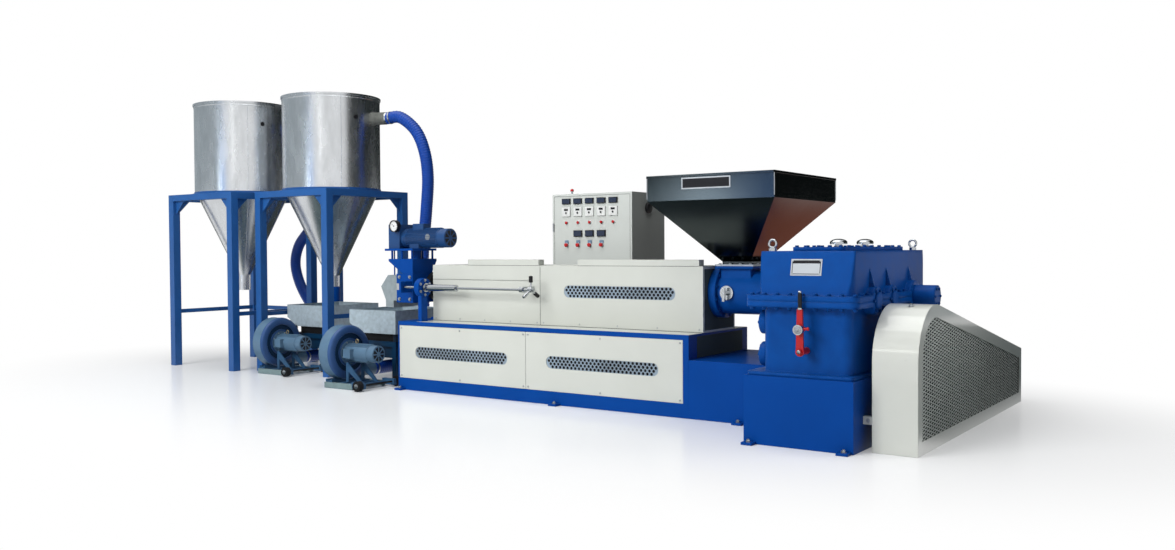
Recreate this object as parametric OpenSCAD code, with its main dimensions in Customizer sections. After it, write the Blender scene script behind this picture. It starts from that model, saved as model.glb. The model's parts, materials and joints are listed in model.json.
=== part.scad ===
// Plastic pelletizing line: extruder, gearbox, die-face cutter, sieves, blowers and storage silos.
// Millimetres, +Z up, +X from the silos to the belt drive, -Y to the operator.
// The origin is the middle of the extruder base's underside.

/* [Extruder base] */
// Length of the base cabinet
base_length = 3600; // [3560:5:3640]
// Width of the base cabinet
base_width = 1158; // [1120:2:1180]
// Height of the deck over the floor
base_height = 740; // [700:5:780]
// Height of the sill under the side panels
sill_height = 128; // [100:2:160]
// Height of the low tail between base and gearbox
tail_height = 520; // [440:5:600]

/* [Barrel and covers] */
// Height of the screw axis over the deck
axis_rise = 364; // [350:2:380]
// Outer radius of the barrel
barrel_r = 105; // [95:1:112]
// Width of the barrel covers
cover_width = 624; // [600:2:640]
// Height of the barrel covers
cover_height = 604; // [580:2:640]
// Rise of the raised lids over the covers
lid_rise = 59; // [40:1:80]
// Length of each slotted vent
vent_length = 1270; // [1000:10:1350]
// Height of each slotted vent
vent_height = 120; // [100:2:140]
// Diameter of the vent holes
vent_hole = 24; // [18:0.5:25]

/* [Feed throat and hopper] */
// Outer radius of the feed throat
throat_r = 200; // [190:1:205]
// Length of the hopper along the machine
hopper_length = 1230; // [1100:10:1260]
// Depth of the hopper across the machine
hopper_depth = 1340; // [1200:10:1400]
// Height of the hopper's upright rim
rim_height = 225; // [180:5:260]
// Height of the hopper's slope
slope_height = 540; // [480:10:620]
// Inside length and width of the hopper's outlet
neck_size = 270; // [240:2:280]

/* [Gearbox] */
// Height of the gearbox pedestal
pedestal_height = 530; // [480:5:560]
// Length of the gearbox across the machine
gearbox_depth = 1760; // [1720:5:1790]
// Width of the gearbox along the machine
gearbox_width = 750; // [720:5:780]
// Height of the upper gearbox half over its flange
upper_height = 332; // [300:2:360]
// Thickness of the split flange
split_flange = 91; // [70:1:100]
// Length of the gear lever from its pivot to the top of its bar
lever_length = 316; // [290:1:330]

/* [Belt drive] */
// Width of the belt guard
guard_width = 337; // [310:1:340]
// Radius of the guard's round end
guard_r = 420; // [400:1:430]
// Distance between the gearbox input and the motor shaft, across the machine
drive_reach = 2620; // [2560:5:2640]
// Height of the motor shaft
motor_axis_z = 300; // [290:1:310]
// Radius of the gearbox pulley
big_pulley_r = 340; // [300:1:350]
// Radius of the motor pulley
small_pulley_r = 130; // [110:1:140]

/* [Control cabinet] */
// Width of the cabinet
cabinet_width = 1050; // [1000:5:1100]
// Depth of the cabinet
cabinet_depth = 670; // [600:5:700]
// Height of the cabinet
cabinet_height = 2115; // [2060:5:2160]

/* [Cutter head] */
// Height of the screen changer block
changer_height = 320; // [300:2:340]
// Width of the screen changer block across the machine
changer_width = 720; // [680:2:740]
// Reach of the cutter hood beyond the screen changer
hood_reach = 362; // [340:1:390]
// Radius of the cutter motor
cutter_motor_r = 108; // [95:1:112]
// Radius of the spindle
spindle_r = 14; // [12:0.5:16]
// Length of the star handle's arms from the spindle's axis
star_reach = 140; // [125:1:145]

/* [Sieves] */
// Length of each sieve tray along the machine
tray_length = 760; // [720:5:790]
// Depth of each sieve tray across the machine
tray_depth = 860; // [820:5:880]
// Height of the tray's rim
tray_top = 815; // [795:1:825]
// Height of the tray's walls
tray_wall = 265; // [240:1:280]

/* [Blowers] */
// Radius of the fan housing
fan_r = 300; // [280:1:310]
// Width of the fan housing
fan_width = 140; // [120:1:150]
// Radius of the fan motor
fan_motor_r = 98; // [90:1:105]
// Radius of the wheels
wheel_r = 55; // [50:1:58]

/* [Silos] */
// Side of the square stand
stand_size = 1340; // [1320:2:1360]
// Height of the stand
stand_height = 2250; // [2200:10:2300]
// Radius of the silo drum
drum_r = 605; // [600:1:612]
// Height of the silo drum
drum_height = 1160; // [1100:10:1200]
// Thickness of the silo sheet
silo_sheet = 4; // [3:0.5:6]
// Diameter of the conveying hoses
hose_d = 150; // [140:1:156]

/* [Hidden] */
$fn = 64;

// Colours as the photo shows them
blue = "#1f4f9c";
pale_blue = "#5f93c4";
cream = "#e2e2d8";
steel = "#b9bec2";
chrome = "#d5dadd";
grey = "#a9b0b4";
dark = "#33383c";
red = "#b3262b";
black = "#1b1b1d";

// Base
base_x = base_length / 2;
base_y = base_width / 2;
frame_wall = 60;
deck_thick = 44;
panel_thick = 6;
panel_lip = 25;
panel_gap = 2;
panel_top = base_height - deck_thick;
panel_x0 = -base_x + 21;
panel_x1 = base_x - 59;
panel_split = -base_x * 0.0211;
panel_z = (sill_height + panel_top) / 2;
panel_mid = [(panel_x0 + panel_split) / 2, (panel_x1 + panel_split) / 2];
panel_span = [panel_split - panel_x0, panel_x1 - panel_split];
screen_thick = 2;
screen_margin = 20;
lug_x = [-base_x + 60, base_x - 1460];
lug_reach = 80;
lug_width = 90;
lug_thick = 20;
lug_hole_r = 11;
tail_x1 = base_x + 902;

// Screw line
axis_z = base_height + axis_rise;
cover_x0 = -base_x + 270;
cover_split = -base_x * 0.0317;
cover_x1 = base_x;
cover_y = cover_width / 2;
cover_top = base_height + cover_height;
cover_sheet = 4;
cover_gap = 1;
lid_left = [cover_x0 + 508, cover_split - 18];
lid_right = [cover_split + 466, base_x - 40];
cover_vent_x = (cover_split + cover_x1) / 2 + 3.5;
cover_vent_z = axis_z - 16;
barrel_x0 = -base_x + 10;
barrel_x1 = base_x + 6;
barrel_bore_r = 52;
flange_r = 165;
flange_thick = 60;
stand_width = 200;

// Feed throat
throat_x0 = barrel_x1;
throat_x1 = tail_x1 + 17;
hopper_x = base_x + 247;
pad_top = axis_z + 241;
pad_size = 380;
ring_r = throat_r + 38;
cap_x = base_x + 185;
hopper_sheet = 5;
hopper_z0 = pad_top + 15;
slope_z0 = hopper_z0 + 25;
rim_z0 = slope_z0 + slope_height;
rim_z1 = rim_z0 + rim_height;

// Gearbox
gearbox_x = tail_x1 + 478;
gearbox_y = -415;
pedestal_x0 = tail_x1;
pedestal_x1 = tail_x1 + 878;
pedestal_y0 = -1325;
pedestal_y1 = 490;
foot_thick = 30;
case_x0 = gearbox_x - gearbox_width / 2;
case_x1 = gearbox_x + gearbox_width / 2;
split_z0 = axis_z - split_flange / 2;
split_z1 = axis_z + split_flange / 2;
upper_top = split_z1 + upper_height;
case_y0 = gearbox_y - gearbox_depth / 2;
case_y1 = gearbox_y + gearbox_depth / 2;
lower_inset = 45;
case_lean = 80;
top_plate = 30;
input_y = -740;
input_z = 658;
shaft_y = [-913, -545, 0];
boss_r = [105, 105, 130];
boss_reach = 60;

// Gear lever
lever_x = gearbox_x + 10;
lever_z = pedestal_height + 205;
lever_y = case_y0 - 90;
lever_thick = 15;
lever_pin_r = 12;
running_gap = 0.05;
seat_gap = 0.2;
grip_r = 16;
grip_length = 136;

// Belt drive
guard_x0 = pedestal_x1 + 78;
guard_x1 = guard_x0 + guard_width;
guard_sheet = 4;
motor_y = input_y + drive_reach;
guard_rear = motor_y + 205;
guard_fall = 11.35;
guard_border = 100;
pulley_x0 = guard_x0 + 70;
pulley_x1 = guard_x1 - 60;
belt_thick = 14;

// Control cabinet
cabinet_x = -115;
cabinet_y0 = 680;
cabinet_x0 = cabinet_x - cabinet_width / 2;
cabinet_x1 = cabinet_x + cabinet_width / 2;
panel_pitch = 155;

// Cutter head
changer_x1 = barrel_x0;
changer_x0 = changer_x1 - 250;
changer_z0 = axis_z - 179;
changer_slot = 72;
changer_z1 = changer_z0 + changer_height;
hood_x0 = changer_x0 - hood_reach;
hood_y = 250;
hood_sheet = 5;
hood_top = changer_z1 - 19;
chute_bottom = tray_top + 45;
bracket_y0 = -changer_width / 2;
bracket_z1 = changer_z1 + 165;
shelf_z0 = bracket_z1 + 90;
shelf_z1 = shelf_z0 + 25;
cutter_y = bracket_y0 + 190;
cutter_z = shelf_z1 + cutter_motor_r + 4;
spindle_y = -cover_y - star_reach - 38;
spindle_x0 = changer_x1 - 45;
star_x0 = -60;
star_x1 = -12;

// Sieves
tray_sheet = 4;
tray_z0 = tray_top - tray_wall;
sieve_1 = [-base_x - 2650, 60];
sieve_2 = [-base_x - 1150, -240];
sieve_leg = 60;
spring_r = 26;
spring_height = 90;

// Blowers: middle of the motor-side face
blower_1 = [-base_x - 2395, -260];
blower_2 = [-base_x - 670, -690];
fan_z = fan_r + 75;
outlet_r = hose_d / 2;
outlet_reach = 420;
outlet_z = 150;
axle_r = 10;
axle_x = 470;
wheel_y = 283;
wheel_width = 60;

// Silos
silo_1 = [-base_x - 3600, 115];
silo_2 = [-base_x - 2095, 340];
leg_side = 100;
beam_side = 80;
brace_side = 50;
brace_z = 690;
cone_r = stand_size / 2 - beam_side - 10;
silo_outlet_z = tray_top + 175;
vent_neck_r = 100;
collar_r = 80;
collar_height = 200;
cone_height = stand_height - collar_height - silo_outlet_z;
drum_top = stand_height + drum_height;
inlet_z = drum_top - 260;
inlet_length = 210;
inlet_angle = [45, 16];

// Hose routes, from fan outlet to silo inlet
hose_sides = 12;
hose_lead = 180;
function outlet_end(place, lead) = [place.x - fan_width / 2, place.y + outlet_reach + lead, outlet_z];
function inlet_end(place, angle, lead) =
    [place.x, place.y, inlet_z] + (drum_r + inlet_length + lead) * [cos(angle), sin(angle), 0];
// Points between the ends, with X from the base's left end
function along_line(points) = [for (p = points) [p.x - base_x, p.y, p.z]];
hose_1_route = concat(
    [outlet_end(blower_2, 0), outlet_end(blower_2, hose_lead)],
    along_line([
        [-760, 200, 155], [-800, 460, 175], [-845, 640, 280], [-895, 745, 540], [-940, 780, 860], [-950, 780, 1200],
        [-920, 775, 1600], [-860, 765, 2000], [-810, 745, 2400], [-830, 710, 2720], [-940, 675, 2980]
    ]),
    [inlet_end(silo_2, inlet_angle[1], hose_lead), inlet_end(silo_2, inlet_angle[1], 0)]
);
hose_2_route = concat(
    [outlet_end(blower_1, 0), outlet_end(blower_1, hose_lead)],
    along_line([
        [-2465, 640, 150], [-2468, 920, 152], [-2530, 1150, 175], [-2690, 1310, 235], [-2950, 1350, 330],
        [-3240, 1350, 520], [-3470, 1330, 840], [-3550, 1320, 1200], [-3440, 1320, 1600], [-3260, 1320, 2000],
        [-3080, 1310, 2400], [-2940, 1250, 2760], [-2880, 1090, 3030], [-2880, 900, 3140]
    ]),
    [inlet_end(silo_1, inlet_angle[0], hose_lead * 0.6), inlet_end(silo_1, inlet_angle[0], 0)]
);

// Angle between the points of a drawn arc
arc_step = 2.5;

// Helpers

// A box between two corners
module box(from, to) {
    translate(from) cube(to - from);
}

// A round bar along X
module bar_x(x0, x1, y, z, r) {
    translate([x0, y, z]) rotate([0, 90, 0]) cylinder(h = x1 - x0, r = r);
}

// A round bar along Y
module bar_y(x, y0, y1, z, r) {
    translate([x, y0, z]) rotate([-90, 0, 0]) cylinder(h = y1 - y0, r = r);
}

// A drawing in X and Z, extruded from y0 to y1
module side_plate(y0, y1) {
    translate([0, y1, 0]) rotate([90, 0, 0]) linear_extrude(y1 - y0) children();
}

// A drawing in Y and Z, extruded from x0 to x1
module end_plate(x0, x1) {
    translate([x0, 0, 0]) rotate([90, 0, 90]) linear_extrude(x1 - x0) children();
}

// A rectangle with round corners, between two corners
module round_rect(from, to, r) {
    translate(from + [r, 0]) square([to.x - from.x - 2 * r, to.y - from.y]);
    translate(from + [0, r]) square([to.x - from.x, to.y - from.y - 2 * r]);
    for (x = [from.x + r, to.x - r], y = [from.y + r, to.y - r]) translate([x, y]) circle(r);
}

// A slot with round ends about its middle
module slot(length, height) {
    square([length - height, height], center = true);
    for (side = [-1, 1]) translate([side * (length - height) / 2, 0]) circle(height / 2);
}

// A perforated slot cover with staggered rows of holes
module perforated_slot(length, height) {
    rows = 4;
    row_pitch = height / (rows + 0.15);
    hole_pitch = row_pitch * 1.55;
    count = floor((length - height * 0.55) / hole_pitch);
    difference() {
        slot(length + 2 * screen_margin, height + 2 * screen_margin);
        for (row = [0 : rows - 1], i = [0 : count - 1 - row % 2])
            translate([(i - (count - 1 - row % 2) / 2) * hole_pitch, (row - (rows - 1) / 2) * row_pitch])
                circle(vent_hole / 2, $fn = 16);
    }
}

// An anchor lug on the floor, with its bolt hole, reaching out along side from y
module anchor_lug(x, y, side) {
    difference() {
        box([x - lug_width / 2, min(y, y + side * lug_reach), 0],
            [x + lug_width / 2, max(y, y + side * lug_reach), lug_thick]);
        translate([x, y + side * lug_reach / 2, -1]) cylinder(h = lug_thick + 2, r = lug_hole_r);
    }
}

// Points of an arc round a middle, from one angle to another
function arc(middle, r, from, to) =
    let (steps = ceil(abs(to - from) / arc_step))
        [for (i = [0 : steps]) let (a = from + (to - from) * i / steps) middle + r * [cos(a), sin(a)]];

// Unit vector
function unit(v) = v / norm(v);

// A tube along a route, as one swept solid
module swept_tube(route, d) {
    last = len(route) - 1;
    sides = hose_sides;
    tangents = [for (i = [0 : last]) unit(route[min(i + 1, last)] - route[max(i - 1, 0)])];
    points = [
        for (i = [0 : last])
            let (across = unit(cross(tangents[i], [0.9, 0.1, 0.42])), up = cross(across, tangents[i]))
                for (k = [0 : sides - 1])
                    route[i] + d / 2 * (cos(360 * k / sides) * across + sin(360 * k / sides) * up)
    ];
    walls = [
        for (i = [0 : last - 1], k = [0 : sides - 1])
            [i * sides + k, i * sides + (k + 1) % sides, (i + 1) * sides + (k + 1) % sides, (i + 1) * sides + k]
    ];
    start = [for (k = [sides - 1 : -1 : 0]) k];
    end = [for (k = [0 : sides - 1]) last * sides + k];
    polyhedron(points, concat(walls, [start, end]));
}

// Extruder base

// Opening for the side panels, from the outer face inward
module panel_recess(side) {
    outer = side * (base_y + 1);
    seat = side * (base_y - panel_thick);
    inner = side * (base_y - frame_wall - 1);
    box([panel_x0, min(outer, seat), sill_height], [panel_x1, max(outer, seat), panel_top]);
    for (i = [0, 1])
        box([panel_mid[i] - panel_span[i] / 2 + panel_lip, min(outer, inner), sill_height + panel_lip],
            [panel_mid[i] + panel_span[i] / 2 - panel_lip, max(outer, inner), panel_top - panel_lip]);
}

module base_frame() {
    color(blue) union() {
        difference() {
            box([-base_x, -base_y, 0], [base_x, base_y, base_height]);
            box([-base_x + frame_wall, -base_y + frame_wall, frame_wall],
                [base_x - frame_wall, base_y - frame_wall, base_height - deck_thick]);
            for (side = [-1, 1]) panel_recess(side);
        }
        for (x = lug_x, side = [-1, 1]) anchor_lug(x, side * base_y, side);
    }
}

module base_tail() {
    wall = 20;
    color(blue) union() {
        difference() {
            box([base_x, -base_y, 0], [tail_x1, base_y, tail_height]);
            box([base_x + wall, -base_y + wall, -1], [tail_x1 - wall, base_y - wall, tail_height - wall]);
        }
        for (side = [-1, 1]) anchor_lug(base_x + 500, side * base_y, side);
    }
}

module base_panels() {
    color(cream) for (side = [-1, 1], i = [0, 1])
        side_plate(side > 0 ? base_y - panel_thick : -base_y, side > 0 ? base_y : -base_y + panel_thick)
            difference() {
                translate([panel_mid[i] - panel_span[i] / 2 + panel_gap, sill_height + panel_gap])
                    square([panel_span[i] - 2 * panel_gap, panel_top - sill_height - 2 * panel_gap]);
                translate([panel_mid[i], panel_z]) slot(vent_length, vent_height);
            }
}

module vent_screens() {
    base_seat = base_y - panel_thick;
    cover_seat = cover_y - cover_sheet;
    color(pale_blue) for (side = [-1, 1]) {
        for (i = [0, 1])
            side_plate(side > 0 ? base_seat - screen_thick : -base_seat,
                       side > 0 ? base_seat : -base_seat + screen_thick)
                translate([panel_mid[i], panel_z]) perforated_slot(vent_length, vent_height);
        side_plate(side > 0 ? cover_seat - screen_thick : -cover_seat,
                   side > 0 ? cover_seat : -cover_seat + screen_thick)
            translate([cover_vent_x, cover_vent_z]) perforated_slot(vent_length, vent_height);
    }
}

// Barrel and its covers

// A folded cover over the barrel, open below, with a raised lid
module cover_shell(x0, x1, lid) {
    difference() {
        union() {
            box([x0, -cover_y, base_height], [x1, cover_y, cover_top]);
            box([lid[0], -cover_y, cover_top], [lid[1], cover_y, cover_top + lid_rise]);
        }
        box([x0 + cover_sheet, -cover_y + cover_sheet, base_height - 1],
            [x1 - cover_sheet, cover_y - cover_sheet, cover_top - cover_sheet]);
        box([lid[0] + cover_sheet, -cover_y + cover_sheet, cover_top - cover_sheet - 1],
            [lid[1] - cover_sheet, cover_y - cover_sheet, cover_top + lid_rise - cover_sheet]);
        bar_x(x0 - 1, x1 + 1, 0, axis_z, barrel_r + 5);
    }
}

module barrel_cover_left() {
    seam_z = base_height + 450;
    seam = 6;
    color(cream) difference() {
        cover_shell(cover_x0, cover_split - cover_gap, lid_left);
        for (side = [-1, 1])
            translate([0, side * cover_y, 0])
                box([cover_x0 - 1, -1.5, seam_z - seam / 2], [cover_split, 1.5, seam_z + seam / 2]);
    }
}

module barrel_cover_right() {
    color(cream) difference() {
        cover_shell(cover_split + cover_gap, cover_x1, lid_right);
        side_plate(-cover_y - 1, cover_y + 1) translate([cover_vent_x, cover_vent_z]) slot(vent_length, vent_height);
    }
}

module barrel() {
    color(dark) difference() {
        union() {
            bar_x(barrel_x0, barrel_x1, 0, axis_z, barrel_r);
            bar_x(barrel_x0, barrel_x0 + flange_thick, 0, axis_z, flange_r);
        }
        bar_x(barrel_x0 - 1, barrel_x1 + 1, 0, axis_z, barrel_bore_r);
    }
}

module barrel_stand() {
    x0 = barrel_x0 + flange_thick + 20;
    x1 = x0 + 90;
    color(blue) difference() {
        union() {
            end_plate(x0, x1) polygon([
                [-stand_width / 2, base_height + 20], [stand_width / 2, base_height + 20],
                [barrel_r + 20, axis_z], [-barrel_r - 20, axis_z]
            ]);
            box([x0 - 30, -stand_width / 2 - 30, base_height], [x1 + 30, stand_width / 2 + 30, base_height + 20]);
        }
        bar_x(x0 - 1, x1 + 1, 0, axis_z, barrel_r + seat_gap);
    }
}

// Feed throat and hopper

module feed_throat() {
    ring_thick = 75;
    well = 200;
    color(blue) difference() {
        union() {
            bar_x(throat_x0, throat_x1, 0, axis_z, throat_r);
            bar_x(throat_x0, throat_x0 + ring_thick, 0, axis_z, ring_r);
            bar_x(throat_x1 - ring_thick, throat_x1, 0, axis_z, ring_r);
            box([hopper_x - 150, -150, axis_z], [hopper_x + 150, 150, pad_top - 25]);
            box([hopper_x - pad_size / 2, -pad_size / 2, pad_top - 25], [hopper_x + pad_size / 2, pad_size / 2, pad_top]);
        }
        box([hopper_x - well / 2, -well / 2, axis_z - 30], [hopper_x + well / 2, well / 2, pad_top + 1]);
    }
}

module throat_cap() {
    face = -throat_r - 18;
    color(chrome) difference() {
        union() {
            bar_y(cap_x, face, -throat_r * 0.9, axis_z, 65);
            bar_y(cap_x, face - 40, face, axis_z, 22);
            box([cap_x - 12, face - 62, axis_z - 75], [cap_x + 12, face - 38, axis_z + 45]);
        }
        bar_x(cap_x - 100, cap_x + 100, 0, axis_z, throat_r + seat_gap);
    }
}

// A four-sided taper between two heights, as two crossed profiles
module taper(bottom, top, z0, z1) {
    intersection() {
        side_plate(-top.y, top.y)
            polygon([[-bottom.x / 2, z0], [bottom.x / 2, z0], [top.x / 2, z1], [-top.x / 2, z1]]);
        end_plate(-top.x, top.x)
            polygon([[-bottom.y / 2, z0], [bottom.y / 2, z0], [top.y / 2, z1], [-top.y / 2, z1]]);
    }
}

module hopper() {
    sheet = 2 * hopper_sheet;
    inner_neck = [neck_size, neck_size];
    outer_neck = inner_neck + [sheet, sheet];
    rim = [hopper_length, hopper_depth];
    inner_rim = rim - [sheet, sheet];
    color(steel) translate([hopper_x, 0, 0]) difference() {
        union() {
            translate([-pad_size / 2, -pad_size / 2, pad_top]) cube([pad_size, pad_size, 15]);
            translate([-outer_neck.x / 2, -outer_neck.y / 2, hopper_z0]) cube([outer_neck.x, outer_neck.y, slope_z0 - hopper_z0]);
            taper(outer_neck, rim, slope_z0, rim_z0);
            translate([-rim.x / 2, -rim.y / 2, rim_z0]) cube([rim.x, rim.y, rim_height]);
        }
        translate([-inner_neck.x / 2, -inner_neck.y / 2, pad_top - 1]) cube([inner_neck.x, inner_neck.y, slope_z0 - pad_top + 2]);
        taper(inner_neck, inner_rim, slope_z0, rim_z0 + 0.01);
        translate([-inner_rim.x / 2, -inner_rim.y / 2, rim_z0]) cube([inner_rim.x, inner_rim.y, rim_height + 1]);
    }
}

// Gearbox

module gearbox_pedestal() {
    wall = 20;
    color(blue) union() {
        difference() {
            box([pedestal_x0, pedestal_y0, 0], [pedestal_x1, pedestal_y1, pedestal_height]);
            box([pedestal_x0 + wall, pedestal_y0 + wall, -1],
                [pedestal_x1 - wall, pedestal_y1 - wall, pedestal_height - wall]);
        }
        for (x = [pedestal_x0 + 60, pedestal_x1 - 60]) {
            anchor_lug(x, pedestal_y0, -1);
            anchor_lug(x, pedestal_y1, 1);
        }
    }
}

// Half of the split flange
module flange_half(z0, z1) {
    translate([0, 0, z0]) linear_extrude(z1 - z0)
        round_rect([throat_x1, case_y0 - 47], [case_x1 + boss_reach, case_y1 + 55], 60);
}

// Seats of the throat and the shaft bosses at the split, cut to one half
module shaft_bosses() {
    bar_x(throat_x1, case_x0 + 60, 0, axis_z, ring_r);
    for (i = [0 : 2]) bar_x(case_x1 - 20, case_x1 + boss_reach, shaft_y[i], axis_z, boss_r[i]);
}

module gearbox_lower() {
    z0 = pedestal_height;
    half = 1000;
    color(blue) difference() {
        union() {
            translate([0, 0, z0]) linear_extrude(foot_thick)
                round_rect([pedestal_x0 + 18, pedestal_y0 + 15], [pedestal_x1 - 10, pedestal_y1 - 15], 30);
            translate([0, 0, z0]) linear_extrude(split_z0 - z0)
                round_rect([case_x0 + 20, case_y0 + lower_inset], [case_x1 - 20, case_y1 - lower_inset], 70);
            flange_half(split_z0, axis_z);
            shaft_bosses();
            for (y = [-330, 160]) box([case_x1 - 30, y - 20, z0], [case_x1 + 30, y + 20, split_z0]);
        }
        translate([0, 0, axis_z]) box([throat_x1 - 100, case_y0 - half, 0], [case_x1 + 200, case_y1 + half, half]);
    }
}

module gearbox_upper() {
    half = 1000;
    rib = 26;
    color(blue) difference() {
        union() {
            intersection() {
                translate([0, 0, axis_z]) linear_extrude(upper_top - axis_z)
                    round_rect([case_x0, case_y0], [case_x1, case_y1], 80);
                end_plate(case_x0 - 1, case_x1 + 1) polygon([
                    [case_y0, axis_z], [case_y1, axis_z],
                    [case_y1 - case_lean, upper_top], [case_y0 + case_lean, upper_top]
                ]);
            }
            flange_half(axis_z, split_z1);
            shaft_bosses();
            for (y = shaft_y)
                side_plate(y - rib / 2, y + rib / 2)
                    polygon([[case_x1 - 20, split_z1], [case_x1 + boss_reach - 8, split_z1], [case_x1 - 20, upper_top - 60]]);
        }
        translate([0, 0, axis_z - half]) box([throat_x1 - 100, case_y0 - half, 0], [case_x1 + 200, case_y1 + half, half]);
    }
}

module gearbox_top_cover() {
    inset = 95;
    left = 205;
    color(blue) translate([0, 0, upper_top]) linear_extrude(top_plate)
        round_rect([case_x0 + left, case_y0 + case_lean + inset], [case_x1 - inset - 35, case_y1 - case_lean - inset], 40);
}

module gearbox_bearing_caps() {
    color(blue) {
        // Long end cap on the screw axis
        bar_x(case_x1 + boss_reach, case_x1 + 240, shaft_y[2], axis_z, 91);
        // Bearing cover and stub of the input shaft
        bar_x(case_x1 - 20, case_x1 + 40, input_y, input_z, 92);
        // Two round covers on the side that faces the throat
        for (z = [input_z + 20, split_z0 - 130]) bar_x(case_x0 - 40, case_x0 + 20, case_y0 + 200, z, 95);
    }
}

module gearbox_fittings() {
    z = upper_top + top_plate;
    color(chrome) {
        // Mushroom breathers
        for (place = [[gearbox_x + 45, -700], [gearbox_x + 115, -300]]) translate([place.x, place.y, z]) {
            cylinder(h = 20, r = 28);
            translate([0, 0, 20]) cylinder(h = 14, r = 68);
            translate([0, 0, 34]) cylinder(h = 26, r1 = 68, r2 = 30);
        }
        // Eye bolts
        for (place = [[case_x0 + 70, case_y0 + case_lean + 50], [case_x1 - 70, case_y1 - case_lean - 50]])
            translate([place.x, place.y, upper_top]) {
                cylinder(h = 22, r = 30);
                translate([0, 0, 56]) rotate([90, 0, 0]) rotate_extrude() translate([30, 0]) circle(9, $fn = 24);
            }
    }
}

// Gear lever

module lever_pivot() {
    color(red) union() {
        bar_y(lever_x, lever_y + lever_thick + 4, case_y0 + lower_inset, lever_z, 26);
        bar_y(lever_x, lever_y - 8, lever_y + lever_thick + 5, lever_z, lever_pin_r);
        bar_y(lever_x, lever_y - 18, lever_y - 4, lever_z, 20);
    }
}

module gear_lever() {
    color(red) difference() {
        union() {
            side_plate(lever_y, lever_y + lever_thick) {
                translate([lever_x, lever_z]) circle(34);
                polygon([
                    [lever_x - 30, lever_z], [lever_x + 30, lever_z],
                    [lever_x + 22, lever_z + lever_length], [lever_x - 22, lever_z + lever_length]
                ]);
            }
            bar_y(lever_x, lever_y + lever_thick - 1, case_y0 - 8, lever_z + 165, 18);
        }
        bar_y(lever_x, lever_y - 1, lever_y + lever_thick + 1, lever_z, lever_pin_r + running_gap);
    }
}

module lever_grip() {
    color(black) translate([lever_x, lever_y + lever_thick / 2, lever_z + lever_length]) {
        cylinder(h = grip_length - 14, r = grip_r);
        translate([0, 0, grip_length - 14]) cylinder(h = 14, r1 = grip_r, r2 = 9);
    }
}

module lever_knob() {
    color(chrome) translate([lever_x, lever_y, lever_z + 165]) rotate([90, 0, 0]) {
        cylinder(h = 12, r = 20);
        translate([0, 0, 12]) cylinder(h = 26, r = 38);
    }
}

// Belt drive

// Outline of the guard in Y and Z, drawn in by inset
module guard_outline(inset) {
    r = guard_r - inset;
    rear = guard_rear - inset;
    top_start = [input_y, input_z] + r * [sin(guard_fall), cos(guard_fall)];
    rear_top = top_start.y - (rear - top_start.x) * tan(guard_fall);
    polygon(concat(
        arc([input_y, input_z], r, 180, 90 - guard_fall),
        [[rear, rear_top], [rear, inset], [input_y - r, inset]]
    ));
}

module belt_guard() {
    shaft_gap = 30;
    bracket = [50, 60];
    color(cream) union() {
        difference() {
            end_plate(guard_x0, guard_x1) guard_outline(0);
            end_plate(guard_x0 + guard_sheet, guard_x1 - guard_sheet) guard_outline(guard_sheet);
            end_plate(guard_x1 - guard_sheet - 1, guard_x1 + 1) guard_outline(guard_border);
            bar_x(guard_x0 - 1, guard_x0 + guard_sheet + 1, input_y, input_z, 45 + shaft_gap);
            bar_x(guard_x0 - 1, guard_x0 + guard_sheet + 1, motor_y, motor_axis_z, 38 + shaft_gap);
        }
        // Brackets that bolt the guard to the gearbox pedestal
        for (y = [input_y - 390, pedestal_y1 - 120])
            box([pedestal_x1, y, 200], [guard_x0, y + bracket[0], 200 + bracket[1]]);
    }
}

module guard_mesh() {
    mesh_thick = 3;
    overlap = 20;
    color(cream) end_plate(guard_x1 - guard_sheet - mesh_thick, guard_x1 - guard_sheet) guard_outline(guard_border - overlap);
}

// A grooved pulley with a web and a hub on its shaft, which reaches back to shaft_x0
module pulley(y, z, r, shaft_r, shaft_x0) {
    width = pulley_x1 - pulley_x0;
    translate([0, y, z]) rotate([0, 90, 0]) {
        translate([0, 0, pulley_x0]) difference() {
            cylinder(h = width, r = r);
            for (end = [-1, width - 50]) translate([0, 0, end]) difference() {
                cylinder(h = 51, r = r - 35);
                translate([0, 0, -1]) cylinder(h = 53, r = shaft_r + 35);
            }
        }
        translate([0, 0, shaft_x0]) cylinder(h = pulley_x0 - shaft_x0, r = shaft_r);
    }
}

module drive_pulleys() {
    color(dark) {
        pulley(input_y, input_z, big_pulley_r, 45, case_x1 + 40);
        pulley(motor_y, motor_axis_z, small_pulley_r, 38, guard_x0 - 60);
    }
}

module drive_belt() {
    side = 30;
    color(black) difference() {
        end_plate(pulley_x0 + side, pulley_x1 - side) belt_outline(belt_thick);
        end_plate(pulley_x0, pulley_x1) belt_outline(2 * seat_gap);
    }
}

// Outline of a belt round both pulleys, grown by extra
module belt_outline(extra) {
    span = [motor_y - input_y, motor_axis_z - input_z];
    far = norm(span);
    tilt = atan2(span.y, span.x);
    lean = acos((big_pulley_r - small_pulley_r) / far);
    big = big_pulley_r + extra;
    small = small_pulley_r + extra;
    translate([input_y, input_z]) rotate(tilt)
        polygon(concat(arc([0, 0], big, lean, 360 - lean), arc([far, 0], small, -lean, lean)));
}

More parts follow.
